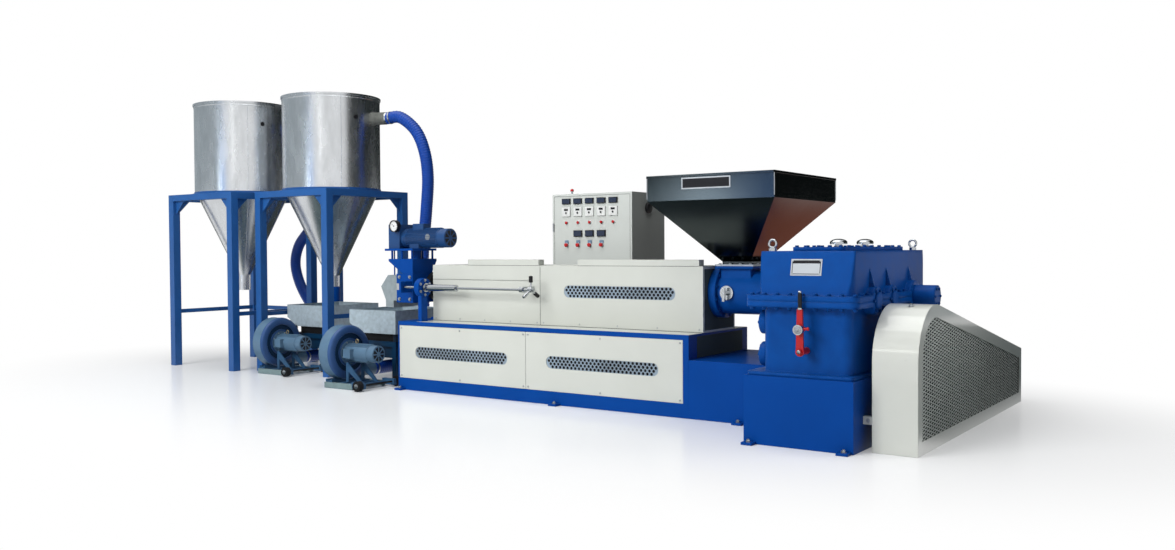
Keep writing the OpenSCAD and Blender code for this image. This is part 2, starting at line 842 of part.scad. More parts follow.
module main_motor() {
    x1 = guard_x0 - 60;
    x0 = x1 - 1060;
    r = 235;
    rail = 40;
    color(blue) translate([0, motor_y, 0]) union() {
        bar_x(x0 + 230, x1 - 60, 0, motor_axis_z, r);
        bar_x(x0, x0 + 230, 0, motor_axis_z, r - 18);
        bar_x(x1 - 60, x1, 0, motor_axis_z, r - 60);
        box([x0 + 330, -160, motor_axis_z + 150], [x0 + 620, 160, motor_axis_z + 330]);
        for (x = [x0 + 290, x1 - 250]) box([x, -250, rail], [x + 130, 250, motor_axis_z - 90]);
        for (y = [-230, 130]) box([x0 + 200, y, 0], [x1 - 60, y + 100, rail]);
    }
}

// Screen changer, cutter and its drive

module screen_changer() {
    color(blue) difference() {
        box([changer_x0, -changer_width / 2, changer_z0], [changer_x1, changer_width / 2, changer_z1]);
        box([changer_x0 + 55, -changer_width / 2 - 1, axis_z - changer_slot / 2],
            [changer_x1 - 55, changer_width / 2 + 1, axis_z + changer_slot / 2]);
    }
}

module screen_slide() {
    clear = 1;
    reach = 55;
    color(chrome) box([changer_x0 + 55 + clear, -changer_width / 2 - reach, axis_z - changer_slot / 2],
                      [changer_x1 - 55 - clear, changer_width / 2 + reach, axis_z + changer_slot / 2 - clear]);
}

// Side outline of the cutter hood, drawn in by inset
module hood_outline(inset) {
    nose = [hood_x0 + inset * 1.3, axis_z - 9];
    shoulder = hood_x0 + 112;
    chute = [hood_x0 + 75 + inset, hood_x0 + 200 - inset];
    chute_top = changer_z0 + 15;
    polygon([
        nose, [shoulder + inset * 0.6, hood_top - inset], [changer_x0, hood_top - inset],
        [changer_x0, changer_z0 + inset], [chute[1], chute_top], [chute[1], chute_bottom - (inset > 0 ? 1 : 0)],
        [chute[0], chute_bottom - (inset > 0 ? 1 : 0)], [chute[0], chute_top]
    ]);
}

module cutter_hood() {
    color(grey) difference() {
        side_plate(-hood_y, hood_y) hood_outline(0);
        side_plate(-hood_y + hood_sheet, hood_y - hood_sheet) hood_outline(hood_sheet);
    }
}

module motor_bracket() {
    x1 = changer_x1;
    y0 = bracket_y0;
    top_y = y0 + 380;
    color(blue) union() {
        intersection() {
            side_plate(y0, top_y) polygon([
                [x1 - 153, changer_z1], [x1, changer_z1],
                [x1, bracket_z1], [x1 - 373, bracket_z1], [x1 - 373, bracket_z1 - 25]
            ]);
            end_plate(x1 - 400, x1) polygon([
                [y0, changer_z1], [y0 + 300, changer_z1],
                [top_y, bracket_z1 - 25], [top_y, bracket_z1], [y0, bracket_z1]
            ]);
        }
        for (x = [x1 - 345, x1 - 190, x1 - 36], y = [y0 + 30, top_y - 30])
            translate([x, y, bracket_z1]) cylinder(h = shelf_z0 - bracket_z1, r = 12);
        translate([x1 - 115, cutter_y, bracket_z1]) cylinder(h = shelf_z0 - bracket_z1, r = 48);
        // Stay between the hood's roof and the shelf
        translate([x1 - 402, y0 + 120, hood_top]) cylinder(h = shelf_z0 - hood_top, r = 8);
        box([x1 - 432, y0, shelf_z0], [x1, top_y, shelf_z1]);
    }
}

module cutter_motor() {
    x0 = changer_x1 - 520;
    fan_x = changer_x1 + 392;
    r = cutter_motor_r;
    color(blue) union() {
        box([x0 + 90, cutter_y - 130, shelf_z1], [x0 + 260, cutter_y + 130, shelf_z1 + 270]);
        bar_x(x0 + 260, x0 + 300, cutter_y, cutter_z, r + 3);
        bar_x(x0 + 300, fan_x - 120, cutter_y, cutter_z, r);
        bar_x(fan_x - 120, fan_x, cutter_y, cutter_z, r - 4);
        box([x0 + 400, cutter_y - 60, cutter_z + r - 30], [x0 + 560, cutter_y + 60, cutter_z + r + 55]);
        box([x0 + 380, cutter_y - 95, shelf_z1], [changer_x1, cutter_y + 95, cutter_z - 60]);
    }
}

module pressure_gauge() {
    x = changer_x1 - 290;
    z = shelf_z1 + 250;
    back = cutter_y - 130;
    color(chrome) union() {
        bar_y(x, back - 55, back - 15, z, 66);
        bar_y(x, back - 16, back, z, 16);
    }
}

module spindle_bearings() {
    housing = [cover_x0 - 20, cover_x0 + 50];
    sleeve_x1 = cover_x0 + 502;
    bracket = [-170, -130];
    color(blue) difference() {
        union() {
            bar_x(housing[0], housing[1], spindle_y, axis_z, 100);
            bar_x(housing[1], sleeve_x1, spindle_y, axis_z, 34);
            box([housing[0] + 10, spindle_y - 45, base_height], [housing[1] - 10, spindle_y + 45, axis_z]);
            // Lug on the screen changer that carries the inner end
            box([changer_x1 - 40, spindle_y - 40, axis_z - 60], [changer_x1 - 10, -changer_width / 2, axis_z + 60]);
            // Bearing bracket on the cover beside the handle
            box([bracket[0], spindle_y, axis_z - 28], [bracket[1], -cover_y, axis_z + 28]);
            bar_x(bracket[0], bracket[1], spindle_y, axis_z, 28);
        }
        bar_x(spindle_x0 - 10, bracket[1] + 10, spindle_y, axis_z, spindle_r + running_gap);
    }
}

// Place of each star arm round the spindle, as an angle from up towards the operator
star_angles = [0, 120, 240];

module star_arm(angle) {
    translate([(star_x0 + star_x1) / 2, spindle_y, axis_z]) rotate([angle, 0, 0]) children();
}

module spindle() {
    knob_r = 24;
    color(chrome) union() {
        bar_x(spindle_x0, star_x1, spindle_y, axis_z, spindle_r);
        bar_x(star_x0, star_x1, spindle_y, axis_z, 32);
        for (angle = star_angles) star_arm(angle) cylinder(h = star_reach - knob_r, r = 9);
    }
}

module spindle_knobs() {
    knob_r = 24;
    color(black) for (angle = star_angles)
        star_arm(angle) translate([0, 0, star_reach - knob_r]) intersection() {
            translate([0, 0, knob_r - 4]) sphere(knob_r);
            cylinder(h = 2 * knob_r, r = knob_r + 1);
        }
}

// Control cabinet

module control_cabinet() {
    plinth = 100;
    y1 = cabinet_y0 + cabinet_depth;
    color(grey) union() {
        box([cabinet_x0 + 20, cabinet_y0 + 20, 0], [cabinet_x1 - 20, y1 - 20, plinth]);
        box([cabinet_x0, cabinet_y0, plinth], [cabinet_x1, y1, cabinet_height]);
    }
}

// A row of like pieces on the cabinet's face
module panel_row(x0, z, count, pitch, size, depth) {
    for (i = [0 : count - 1])
        translate([x0 + i * pitch, cabinet_y0 - depth, z]) translate([-size.x / 2, 0, -size.y / 2])
            cube([size.x, depth, size.y]);
}

module panel_instruments() {
    first = cabinet_x0 + 196;
    color(black) {
        panel_row(first, cabinet_height - 82, 5, panel_pitch, [108, 62], 22);
        panel_row(first, cabinet_height - 197, 5, panel_pitch, [108, 100], 18);
        panel_row(first + panel_pitch, cabinet_height - 437, 3, panel_pitch, [108, 70], 22);
    }
}

module panel_switches() {
    first = cabinet_x0 + 196;
    color(red) {
        for (i = [0 : 4]) bar_y(first + i * panel_pitch, cabinet_y0 - 26, cabinet_y0, cabinet_height - 316, 17);
        for (i = [0 : 3]) bar_y(first + i * panel_pitch, cabinet_y0 - 34, cabinet_y0, cabinet_height - 562, 22);
        bar_x(cabinet_x1, cabinet_x1 + 32, cabinet_y0 + 320, cabinet_height - 165, 60);
        translate([cabinet_x0 + 190, cabinet_y0 + 110, cabinet_height]) {
            cylinder(h = 32, r = 11);
            translate([0, 0, 32]) cylinder(h = 32, r = 20);
        }
    }
}

// Sieves

// Open frame on the floor with springs under the tray
module sieve_frame(place) {
    spring_z = tray_z0 - spring_height;
    drive_z = 265;
    rail = 60;
    x0 = place.x + 40;
    x1 = place.x + tray_length - 40;
    y0 = place.y + 40;
    y1 = place.y + tray_depth - 40;
    color(blue) union() {
        for (x = [x0, x1 - sieve_leg], y = [y0, y1 - sieve_leg]) {
            box([x, y, 0], [x + sieve_leg, y + sieve_leg, spring_z]);
            translate([x + sieve_leg / 2, y + sieve_leg / 2, spring_z]) cylinder(h = spring_height, r = spring_r);
        }
        for (y = [y0, y1 - sieve_leg]) box([x0, y, spring_z - rail], [x1, y + sieve_leg, spring_z]);
        for (x = [x0, x1 - sieve_leg]) box([x, y0, spring_z - rail], [x + sieve_leg, y1, spring_z]);
        // Drive housing hung between the rails, above the conveying hose
        box([x0 + sieve_leg - 1, y0 + sieve_leg - 1, drive_z], [x1 - sieve_leg + 1, y0 + sieve_leg + 330, spring_z - 10]);
    }
}

// Side outline of a tray, drawn in by inset, with the sloping end towards the fan
module tray_outline(place, inset) {
    top = tray_top + (inset > 0 ? 1 : 0);
    slope = 190;
    rise = 110;
    x0 = place.x + inset;
    x1 = place.x + tray_length - inset;
    polygon([
        [x0, tray_z0 + rise + inset], [x0 + slope, tray_z0 + inset], [x1, tray_z0 + inset], [x1, top], [x0, top]
    ]);
}

module sieve_tray(place) {
    foot = 90;
    color(grey) union() {
        difference() {
            side_plate(place.y, place.y + tray_depth) tray_outline(place, 0);
            side_plate(place.y + tray_sheet, place.y + tray_depth - tray_sheet) tray_outline(place, tray_sheet);
        }
        // Feet over the springs at the sloping end
        for (y = [place.y + 40 + (sieve_leg - foot) / 2, place.y + tray_depth - 40 - (sieve_leg + foot) / 2])
            side_plate(y, y + foot) difference() {
                translate([place.x + 25, tray_z0]) square([foot, 110]);
                tray_outline(place, 0);
            }
    }
}

module sieve_1_frame() { sieve_frame(sieve_1); }
module sieve_1_tray() { sieve_tray(sieve_1); }
module sieve_2_frame() { sieve_frame(sieve_2); }
module sieve_2_tray() { sieve_tray(sieve_2); }

// Blowers

// Fan housing: spiral drum, inlet ring on the far side and outlet towards the silos
module blower_housing(place) {
    x0 = place.x - fan_width;
    outlet_y = place.y + outlet_reach;
    sheet = 5;
    inlet_r = 90;
    pipe_x = place.x - fan_width / 2;
    color(blue) difference() {
        union() {
            bar_x(x0, place.x, place.y, fan_z, fan_r);
            bar_x(place.x - 1, place.x + 12, place.y, fan_z, fan_r - 45);
            bar_x(x0 - 40, x0, place.y, fan_z, inlet_r + sheet);
            bar_y(pipe_x, place.y + 60, outlet_y, outlet_z, outlet_r);
        }
        bar_x(x0 + sheet, place.x - sheet, place.y, fan_z, fan_r - sheet);
        bar_x(x0 - 41, x0 + sheet + 1, place.y, fan_z, inlet_r);
        bar_y(pipe_x, place.y + 60, outlet_y + 1, outlet_z, outlet_r - sheet);
    }
}

module blower_stand(place) {
    rail_x0 = place.x - fan_width + 20;
    rail_x1 = place.x + 320;
    foot_height = 60;
    rail_y = wheel_y - 60;
    axle_z = wheel_r + 3;
    strut_top = fan_z - fan_motor_r - 12 - seat_gap;
    strut_y = 110;
    color(pale_blue) difference() {
        union() {
            // Two floor runners with wheel arms
            for (side = [-1, 1]) {
                y = place.y + side * rail_y;
                box([rail_x0, y - 20, 0], [rail_x1, y + 20, foot_height]);
                box([rail_x1 - 1, y - 20, foot_height - 40], [place.x + axle_x + 30, y + 20, axle_z + 30]);
            }
            // Struts from a bar under the motor down to the wheel arms
            for (side = [-1, 1]) {
                y = place.y + side * strut_y;
                side_plate(y - 8, y + 8) polygon([
                    [place.x + 90, foot_height - 1], [place.x + 130, foot_height - 1],
                    [place.x + 130, strut_top - 90], [place.x + 330, foot_height - 20], [place.x + 375, foot_height - 20],
                    [place.x + 130, strut_top], [place.x + 90, strut_top]
                ]);
            }
            box([place.x + 90, place.y - strut_y - 8, strut_top], [place.x + 130, place.y + strut_y + 8, strut_top + 12]);
            box([place.x + 320, place.y - rail_y, foot_height - 20], [place.x + 380, place.y + rail_y, foot_height]);
            // Cross plates, and a saddle under the drum
            for (x = [place.x + 60, place.x + 200])
                box([x, place.y - rail_y, foot_height - 20], [x + 60, place.y + rail_y, foot_height]);
            difference() {
                box([place.x - fan_width + 20, place.y - rail_y, 20], [place.x - 20, place.y + rail_y, 120]);
                bar_x(place.x - fan_width, place.x, place.y, fan_z, fan_r + seat_gap);
                bar_y(place.x - fan_width / 2, place.y - rail_y - 1, place.y + rail_y + 1, outlet_z, outlet_r + seat_gap);
            }
        }
        bar_y(place.x + axle_x, place.y - rail_y - 21, place.y + rail_y + 21, axle_z, axle_r + running_gap);
    }
}

module blower_motor(place) {
    x0 = place.x + 12;
    r = fan_motor_r;
    color(blue) union() {
        bar_x(x0, x0 + 18, place.y, fan_z, r + 35);
        bar_x(x0 + 18, x0 + 370, place.y, fan_z, r);
        bar_x(x0 + 370, x0 + 470, place.y, fan_z, r - 5);
        box([x0 + 60, place.y - r - 45, fan_z - 50], [x0 + 170, place.y - r + 25, fan_z + 50]);
    }
}

module blower_wheels(place) {
    axle_z = wheel_r + 3;
    x = place.x + axle_x;
    color(black) union() {
        bar_y(x, place.y - wheel_y, place.y + wheel_y, axle_z, axle_r);
        for (side = [-1, 1]) {
            y = place.y + side * (wheel_y + 6);
            bar_y(x, y - wheel_width / 2, y + wheel_width / 2, axle_z, wheel_r);
        }
    }
}

module blower_1_housing() { blower_housing(blower_1); }
module blower_1_stand() { blower_stand(blower_1); }
module blower_1_motor() { blower_motor(blower_1); }
module blower_1_wheels() { blower_wheels(blower_1); }
module blower_2_housing() { blower_housing(blower_2); }
module blower_2_stand() { blower_stand(blower_2); }
module blower_2_motor() { blower_motor(blower_2); }
module blower_2_wheels() { blower_wheels(blower_2); }

// Silos

// Four legs with a ring of beams, corner gussets and low braces on three sides
module silo_stand(place) {
    half = stand_size / 2;
    inner = half - leg_side;
    beam_z = stand_height - beam_side;
    gusset = 170;
    color(blue) translate([place.x, place.y, 0]) union() {
        for (x = [-half, inner], y = [-half, inner]) translate([x, y, 0]) cube([leg_side, leg_side, stand_height]);
        for (y = [-half, half - beam_side]) box([-half, y, beam_z], [half, y + beam_side, stand_height]);
        for (x = [-half, half - beam_side]) box([x, -half, beam_z], [x + beam_side, half, stand_height]);
        for (x = [-half + 25, half - 25 - brace_side])
            box([x, -half, brace_z], [x + brace_side, half, brace_z + brace_side]);
        box([-half, half - 25 - brace_side, brace_z], [half, half - 25, brace_z + brace_side]);
        for (y = [-half + 44, half - 56], side = [-1, 1])
            side_plate(y, y + 12)
                polygon([[side * inner, beam_z], [side * (inner - gusset), beam_z], [side * inner, beam_z - gusset]]);
        for (x = [-half + 44, half - 56], side = [-1, 1])
            end_plate(x, x + 12)
                polygon([[side * inner, beam_z], [side * (inner - gusset), beam_z], [side * inner, beam_z - gusset]]);
    }
}

// Outline of drum, cone and collar in radius and height
module silo_profile(inset) {
    low = inset > 0 ? 1 : 0;
    polygon([
        [0, drum_top + low], [drum_r - inset, drum_top + low], [drum_r - inset, stand_height + inset],
        [cone_r - inset, stand_height + inset], [collar_r - inset, stand_height - cone_height],
        [collar_r - inset, stand_height - cone_height - collar_height - low],
        [0, stand_height - cone_height - collar_height - low]
    ]);
}

// Shell with its inlet spigot, which points from the drum's wall along angle
module silo_body(place, angle) {
    pipe_r = hose_d / 2;
    color(steel) translate([place.x, place.y, 0]) difference() {
        union() {
            rotate_extrude() silo_profile(0);
            translate([0, 0, inlet_z]) rotate([0, 0, angle]) bar_x(drum_r - 80, drum_r + inlet_length, 0, 0, pipe_r);
        }
        rotate_extrude() silo_profile(silo_sheet);
        translate([0, 0, inlet_z]) rotate([0, 0, angle]) bar_x(drum_r - 81, drum_r + inlet_length + 1, 0, 0, pipe_r - 5);
    }
}

module silo_lid(place) {
    rim = 12;
    neck_r = vent_neck_r + 5;
    // The neck lets the blown air out and dips a little into the drum
    color(steel) translate([place.x, place.y, drum_top]) rotate_extrude() polygon([
        [neck_r, 0], [drum_r + rim, 0], [drum_r + rim, 22], [drum_r - 30, 26], [140, 60], [neck_r, 62],
        [neck_r, 78], [vent_neck_r, 78], [vent_neck_r, -110], [neck_r, -110]
    ]);
}

module silo_1_stand() { silo_stand(silo_1); }
module silo_1_body() { silo_body(silo_1, inlet_angle[0]); }
module silo_1_lid() { silo_lid(silo_1); }
module silo_2_stand() { silo_stand(silo_2); }
module silo_2_body() { silo_body(silo_2, inlet_angle[1]); }
module silo_2_lid() { silo_lid(silo_2); }

// Drop pipe from the second silo's outlet into the first sieve

module drop_pipe() {
    z0 = tray_top + 45;
    pipe_length = silo_outlet_z + 60 - z0;
    color(blue) translate([silo_2.x, silo_2.y, z0]) difference() {
        cylinder(h = pipe_length, r = collar_r + 8);
        translate([0, 0, -1]) cylinder(h = pipe_length + 2, r = collar_r + seat_gap);
    }
}

// Conveying hoses

module hose_1() {
    color(blue) swept_tube(hose_1_route, hose_d);
}

module hose_2() {
    color(blue) swept_tube(hose_2_route, hose_d);
}

base_frame();
base_tail();
base_panels();
vent_screens();
barrel_cover_left();
barrel_cover_right();
barrel();
barrel_stand();
feed_throat();
throat_cap();
hopper();
gearbox_pedestal();
gearbox_lower();
gearbox_upper();
gearbox_top_cover();
gearbox_bearing_caps();
gearbox_fittings();
lever_pivot();
gear_lever();
lever_grip();
lever_knob();
belt_guard();
guard_mesh();
drive_pulleys();
drive_belt();
main_motor();
screen_changer();
screen_slide();
cutter_hood();
motor_bracket();
cutter_motor();
pressure_gauge();
spindle_bearings();
spindle();
spindle_knobs();
control_cabinet();
panel_instruments();
panel_switches();
sieve_1_frame();
sieve_1_tray();
sieve_2_frame();
sieve_2_tray();
blower_1_housing();
blower_1_stand();
blower_1_motor();
blower_1_wheels();
blower_2_housing();
blower_2_stand();
blower_2_motor();
blower_2_wheels();
silo_1_stand();
silo_1_body();
silo_1_lid();
silo_2_stand();
silo_2_body();
silo_2_lid();
drop_pipe();
hose_1();
hose_2();
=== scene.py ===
"""Looks of the plastic pelletizing line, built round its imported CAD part."""

import json
from math import cos, pi, radians, sin, tan

import bpy
from mathutils import Matrix, Vector


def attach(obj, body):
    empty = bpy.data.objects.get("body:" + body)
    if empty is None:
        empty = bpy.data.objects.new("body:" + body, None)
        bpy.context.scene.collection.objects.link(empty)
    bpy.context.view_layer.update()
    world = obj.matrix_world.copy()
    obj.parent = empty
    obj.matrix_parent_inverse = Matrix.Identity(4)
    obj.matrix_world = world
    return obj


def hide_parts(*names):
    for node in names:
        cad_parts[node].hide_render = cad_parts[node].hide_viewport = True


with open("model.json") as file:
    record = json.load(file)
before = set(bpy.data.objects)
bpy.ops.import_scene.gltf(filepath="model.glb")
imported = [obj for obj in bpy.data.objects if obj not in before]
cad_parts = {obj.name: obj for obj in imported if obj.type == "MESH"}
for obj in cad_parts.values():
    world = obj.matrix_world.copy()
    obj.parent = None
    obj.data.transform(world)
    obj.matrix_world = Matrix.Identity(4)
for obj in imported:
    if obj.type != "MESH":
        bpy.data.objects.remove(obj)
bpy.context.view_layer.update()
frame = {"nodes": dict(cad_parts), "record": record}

# All shapes below are written in millimetres in the part's own frame
MM = 0.001
ROOT = "line"
X, Y, Z = Vector((1, 0, 0)), Vector((0, 1, 0)), Vector((0, 0, 1))

# Places that the CAD source also uses
AXIS_Z = 1104
BASE_Y = 579
BASE_TOP = 740
COVER_Y = 312
COVER_TOP = 1344
COVER_SHEET = 4
COVERS = [(-1530, -58), (-56, 1800)]
LIDS = [(-1022, -75), (409, 1760)]
LID_RISE = 59
PANEL_SPANS = [(-1779, -38), (-38, 1741)]
PANEL_Z = (128, 696)
PANEL_THICK = 6
VENT_Z = 412
VENT_LENGTH = 1270
VENT_HEIGHT = 120
COVER_VENT = (875, 1088)
TAIL_TOP = 520
GEARBOX_X = (2805, 3555)
CASE_Y = (-1295, 465)
SPLIT_Z = (1058.5, 1149.5)
UPPER_TOP = 1481.5
CASE_LEAN = 80
PEDESTAL_X = (2702, 3580)
PEDESTAL_Y = (-1325, 490)
INPUT = (-740, 658)
SHAFT_Y = (-913, -545, 0)
GUARD_X = (3658, 3995)
GUARD_R = 420
GUARD_REAR = 2085
GUARD_FALL = radians(11.35)
MOTOR_Y = 1880
MOTOR_Z = 300
LEVER_X = 3190
CABINET_X = (-640, 410)
CABINET_Y = 680
CABINET_TOP = 2115
CHANGER_X = (-2040, -1790)
SPINDLE_Y = -490
BLOWERS = {"1": (-4195, -260), "2": (-2470, -690)}
SIEVES = {"1": (-4450, 60), "2": (-2950, -240)}
SILOS = {"1": (-5400, 115, 45), "2": (-3895, 340, 16)}
FAN_Z = 375
DRUM_R = 605
STAND_TOP = 2250
DRUM_TOP = 3410
INLET_Z = 3150
HOSE_R = 75
PAD_TOP = 1345

# Depth of the lids as the photo shows them
LID_DEPTH = 90

# Faces of a solid between two four-cornered ends, whose points are given one end after the other
PRISM = [(3, 2, 1, 0), (4, 5, 6, 7), (0, 1, 5, 4), (1, 2, 6, 5), (2, 3, 7, 6), (3, 0, 4, 7)]


# Shapes

def across(axis):
    """Two unit vectors square to an axis."""
    axis = axis.normalized()
    helper = Z if abs(axis.z) < 0.9 else X
    u = axis.cross(helper).normalized()
    return u, axis.cross(u)


def outward(angle):
    """The level direction at an angle in degrees."""
    a = radians(angle)
    return Vector((cos(a), sin(a), 0))


def circle(count, shift=0.0):
    """Sines and cosines of evenly spaced angles, shifted by a part of their spacing."""
    turns = [2 * pi * (k + shift) / count for k in range(count)]
    return [(sin(a), cos(a)) for a in turns]


def strips(count, sides, closed=False):
    """Faces that join rings of points: the last ring joins the first, or both ends are capped."""
    faces = []
    for i in range(count if closed else count - 1):
        j = (i + 1) % count
        for k in range(sides):
            m = (k + 1) % sides
            faces.append((i * sides + k, i * sides + m, j * sides + m, j * sides + k))
    if not closed:
        faces.append(tuple(reversed(range(sides))))
        faces.append(tuple((count - 1) * sides + k for k in range(sides)))
    return faces


def add_object(name, data):
    """A new object in the scene."""
    made = bpy.data.objects.new(name, data)
    bpy.context.scene.collection.objects.link(made)
    return made


class Shape:
    """Collects solids in millimetres, to be made into one piece."""

    def __init__(self):
        self.points = []
        self.faces = []

    def add(self, points, faces):
        start = len(self.points)
        self.points.extend(Vector(p) for p in points)
        self.faces.extend([start + i for i in face] for face in faces)

    def box(self, one, other):
        """A box between two opposite corners."""
        (x0, x1), (y0, y1), (z0, z1) = (sorted(pair) for pair in zip(one, other))
        corners = [(x0, y0), (x1, y0), (x1, y1), (x0, y1)]
        self.add([(x, y, z) for z in (z0, z1) for x, y in corners], PRISM)

    def tile(self, x, z, half_x, half_z, y0, y1):
        """A box between two depths, round a middle seen from the front."""
        self.box((x - half_x, y0, z - half_z), (x + half_x, y1, z + half_z))

    def border(self, low, high, wide):
        """Four bars round a level rectangle."""
        (x0, y0, z0), (x1, y1, z1) = low, high
        for x in (x0, x1 - wide):
            self.box((x, y0, z0), (x + wide, y1, z1))
        for y in (y0, y1 - wide):
            self.box((x0, y, z0), (x1, y + wide, z1))

    def lathe(self, base, axis, profile, sides=32, closed=False):
        """A turned solid. Its profile is radius and height along the axis, from end to end or all round."""
        base, axis = Vector(base), Vector(axis).normalized()
        u, v = across(axis)
        points = [base + axis * h + (u * c + v * s) * r for r, h in profile for s, c in circle(sides)]
        self.add(points, strips(len(profile), sides, closed))

    def bar(self, start, end, r, sides=24):
        """A round bar between two points."""
        start, end = Vector(start), Vector(end)
        self.lathe(start, end - start, [(r, 0), (r, (end - start).length)], sides)

    def ring(self, middle, axis, r, thick, sides=48, around=10):
        """A round ring of round section."""
        self.lathe(middle, axis, [(r + thick * c, thick * s) for s, c in circle(around)], sides, closed=True)

    def band(self, middle, axis, inner, outer, width, sides=48):
        """A flat band with a hole, from middle along the axis."""
        profile = [(inner, 0), (outer, 0), (outer, width), (inner, width)]
        self.lathe(middle, axis, profile, sides, closed=True)

    def bolt(self, place, axis, size, washer=True):
        """A hexagon head on a washer, size being the thread's diameter."""
        place, axis = Vector(place), Vector(axis).normalized()
        if washer:
            rise = size * 0.16
            self.lathe(place, axis, [(size * 1.1, 0), (size * 1.1, rise)], 20)
            place = place + axis * rise
        r = size * 0.9
        self.lathe(place, axis, [(r, 0), (r, size * 0.55), (r * 0.86, size * 0.65)], 6)

    def nut(self, place, axis, size):
        """A nut on a washer with the end of its stud."""
        self.bolt(place, axis, size)
        self.bar(Vector(place), Vector(place) + Vector(axis) * size * 1.2, size / 2, 12)

    def screw(self, place, axis, r):
        """A low round head."""
        self.lathe(place, axis, [(r, 0), (r, r * 0.3), (r * 0.75, r * 0.55), (r * 0.3, r * 0.65)], 16)

    def make(self, name, paint, body=ROOT, slot=None, replaces=(), sharp=32, bevel=0.0):
        """One piece of the scene, riding on a body."""
        mesh = bpy.data.meshes.new(name)
        mesh.from_pydata([p * MM for p in self.points], [], self.faces)
        mesh.validate()
        mesh.shade_smooth()
        mesh.set_sharp_from_angle(angle=radians(sharp))
        mesh.materials.append(paint)
        piece = add_object(name, mesh)
        if bevel:
            soften(piece, bevel)
        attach(piece, body)
        if replaces:
            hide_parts(*replaces)


def shapes(count):
    """Empty shapes to fill."""
    return [Shape() for _ in range(count)]


def soften(piece, width):
    """Rounds the hard edges of a piece a little."""
    bevel = piece.modifiers.new("edges", "BEVEL")
    bevel.width = width * MM
    bevel.segments = 2
    bevel.limit_method = "ANGLE"
    bevel.angle_limit = radians(40)
    bevel.harden_normals = True


# Materials

class Graph:
    """Adds nodes to a tree. An input takes a value or another node's output."""

    def __init__(self, tree):
        self.nodes = tree.nodes
        self.links = tree.links

    def feed(self, node, inputs):
        for name, value in inputs.items():
            if isinstance(value, bpy.types.NodeSocket):
                self.links.new(value, node.inputs[name])
            else:
                node.inputs[name].default_value = value

    def add(self, kind, inputs=None, **settings):
        """The outputs of a new node."""
        node = self.nodes.new("ShaderNode" + kind)
        for name, value in settings.items():
            setattr(node, name, value)
        self.feed(node, inputs or {})
        return node.outputs

    def join(self, operation, a, b):
        """What an operation makes of two numbers."""
        return self.add("Math", {0: a, 1: b}, operation=operation)[0]

    def blend(self, factor, a, b):
        """A mix of two colours."""
        return self.add("Mix", {"Factor": factor, 6: a, 7: b}, data_type="RGBA")[2]

    def step(self, value, low, high):
        """A smooth step from nothing to one."""
        span = {"Value": value, "From Min": low, "From Max": high}
        return self.add("MapRange", span, interpolation_type="SMOOTHSTEP")[0]


# The first look made for a slot is the one that its CAD nodes get, with or without a name of its own
NODE_LOOKS = {}


def look(name, slot, color, rough, metal=0.0, shine=0.5, coat=0.0, tone=0.05, tone_scale=3.0, grain=0.0,
         grain_scale=300.0, stretch=(1, 1, 1), rough_spread=0.06, edge=0.0):
    """A procedural material with a little drift in tone and gloss, a fine grain and softened edges."""
    made = bpy.data.materials.new(name)
    made.use_nodes = True
    graph = Graph(made.node_tree)
    place = graph.add("TexCoord")["Object"]
    fit = graph.add("Mapping", {"Vector": place, "Scale": stretch})[0]
    drift = graph.add("TexNoise", {"Vector": fit, "Scale": tone_scale, "Detail": 4.0})["Fac"]
    ramp = graph.nodes.new("ShaderNodeValToRGB")
    for element, position, factor in zip(ramp.color_ramp.elements, (0.3, 0.7), (1 - tone, 1 + tone)):
        element.position = position
        element.color = (*[min(1, c * factor) for c in color], 1)
    graph.feed(ramp, {"Fac": drift})
    gloss = graph.add("MapRange", {"Value": drift, "To Min": max(0.02, rough - rough_spread),
                                   "To Max": min(1, rough + rough_spread)})[0]
    inputs = {"Metallic": metal, "Specular IOR Level": shine, "Coat Weight": coat, "Coat Roughness": 0.08,
              "Base Color": ramp.outputs["Color"], "Roughness": gloss}
    surface = {}
    if edge:
        surface["Normal"] = graph.add("Bevel", {"Radius": edge}, samples=4)[0]
    if grain:
        fine = graph.add("TexNoise", {"Vector": fit, "Scale": grain_scale, "Detail": 2.0})["Fac"]
        bump = {"Strength": grain, "Distance": 0.0005, "Height": fine, **surface}
        surface["Normal"] = graph.add("Bump", bump)[0]
    graph.feed(graph.nodes["Principled BSDF"], {**inputs, **surface})
    NODE_LOOKS.setdefault(slot, made)
    return made


look("blue paint", "blue_paint", (0.001, 0.051, 0.27), 0.36, shine=0.09, grain=0.1, edge=0.006)
CAST_BLUE = look("cast blue paint", "blue_paint", (0.003, 0.061, 0.28), 0.34, shine=0.09, tone=0.08,
                 tone_scale=9, grain=0.25, grain_scale=120, edge=0.03)
MOTOR_BLUE = look("motor blue paint", "blue_paint", (0.012, 0.055, 0.17), 0.36, shine=0.35, grain=0.2,
                  edge=0.004)
FAN_BLUE = look("blower paint", "blue_paint", (0.085, 0.160, 0.245), 0.38, shine=0.4, tone=0.1, tone_scale=8,
                grain=0.2, edge=0.006)
# The sieve frames' blue, darkened for the shade under the trays: painted shade
SHADE_BLUE = look("sieve frame paint in painted shade", "blue_paint", (0.003, 0.030, 0.075), 0.45, shine=0.2)
# A lighter copy of the blue paint for the silo stands, standing in for the sheen on their lit faces: painted
# sheen
STAND_SHEEN_BLUE = look("stand paint with painted sheen", "blue_paint", (0.016, 0.090, 0.29), 0.36, shine=0.3, grain=0.1, edge=0.008)
# A darker copy of the blower paint for the blowers' faces, which lie in shade: painted shade
SHADED_FACE_BLUE = look("blower face paint in painted shade", "blue_paint", (0.030, 0.080, 0.215), 0.36, shine=0.35, grain=0.2)
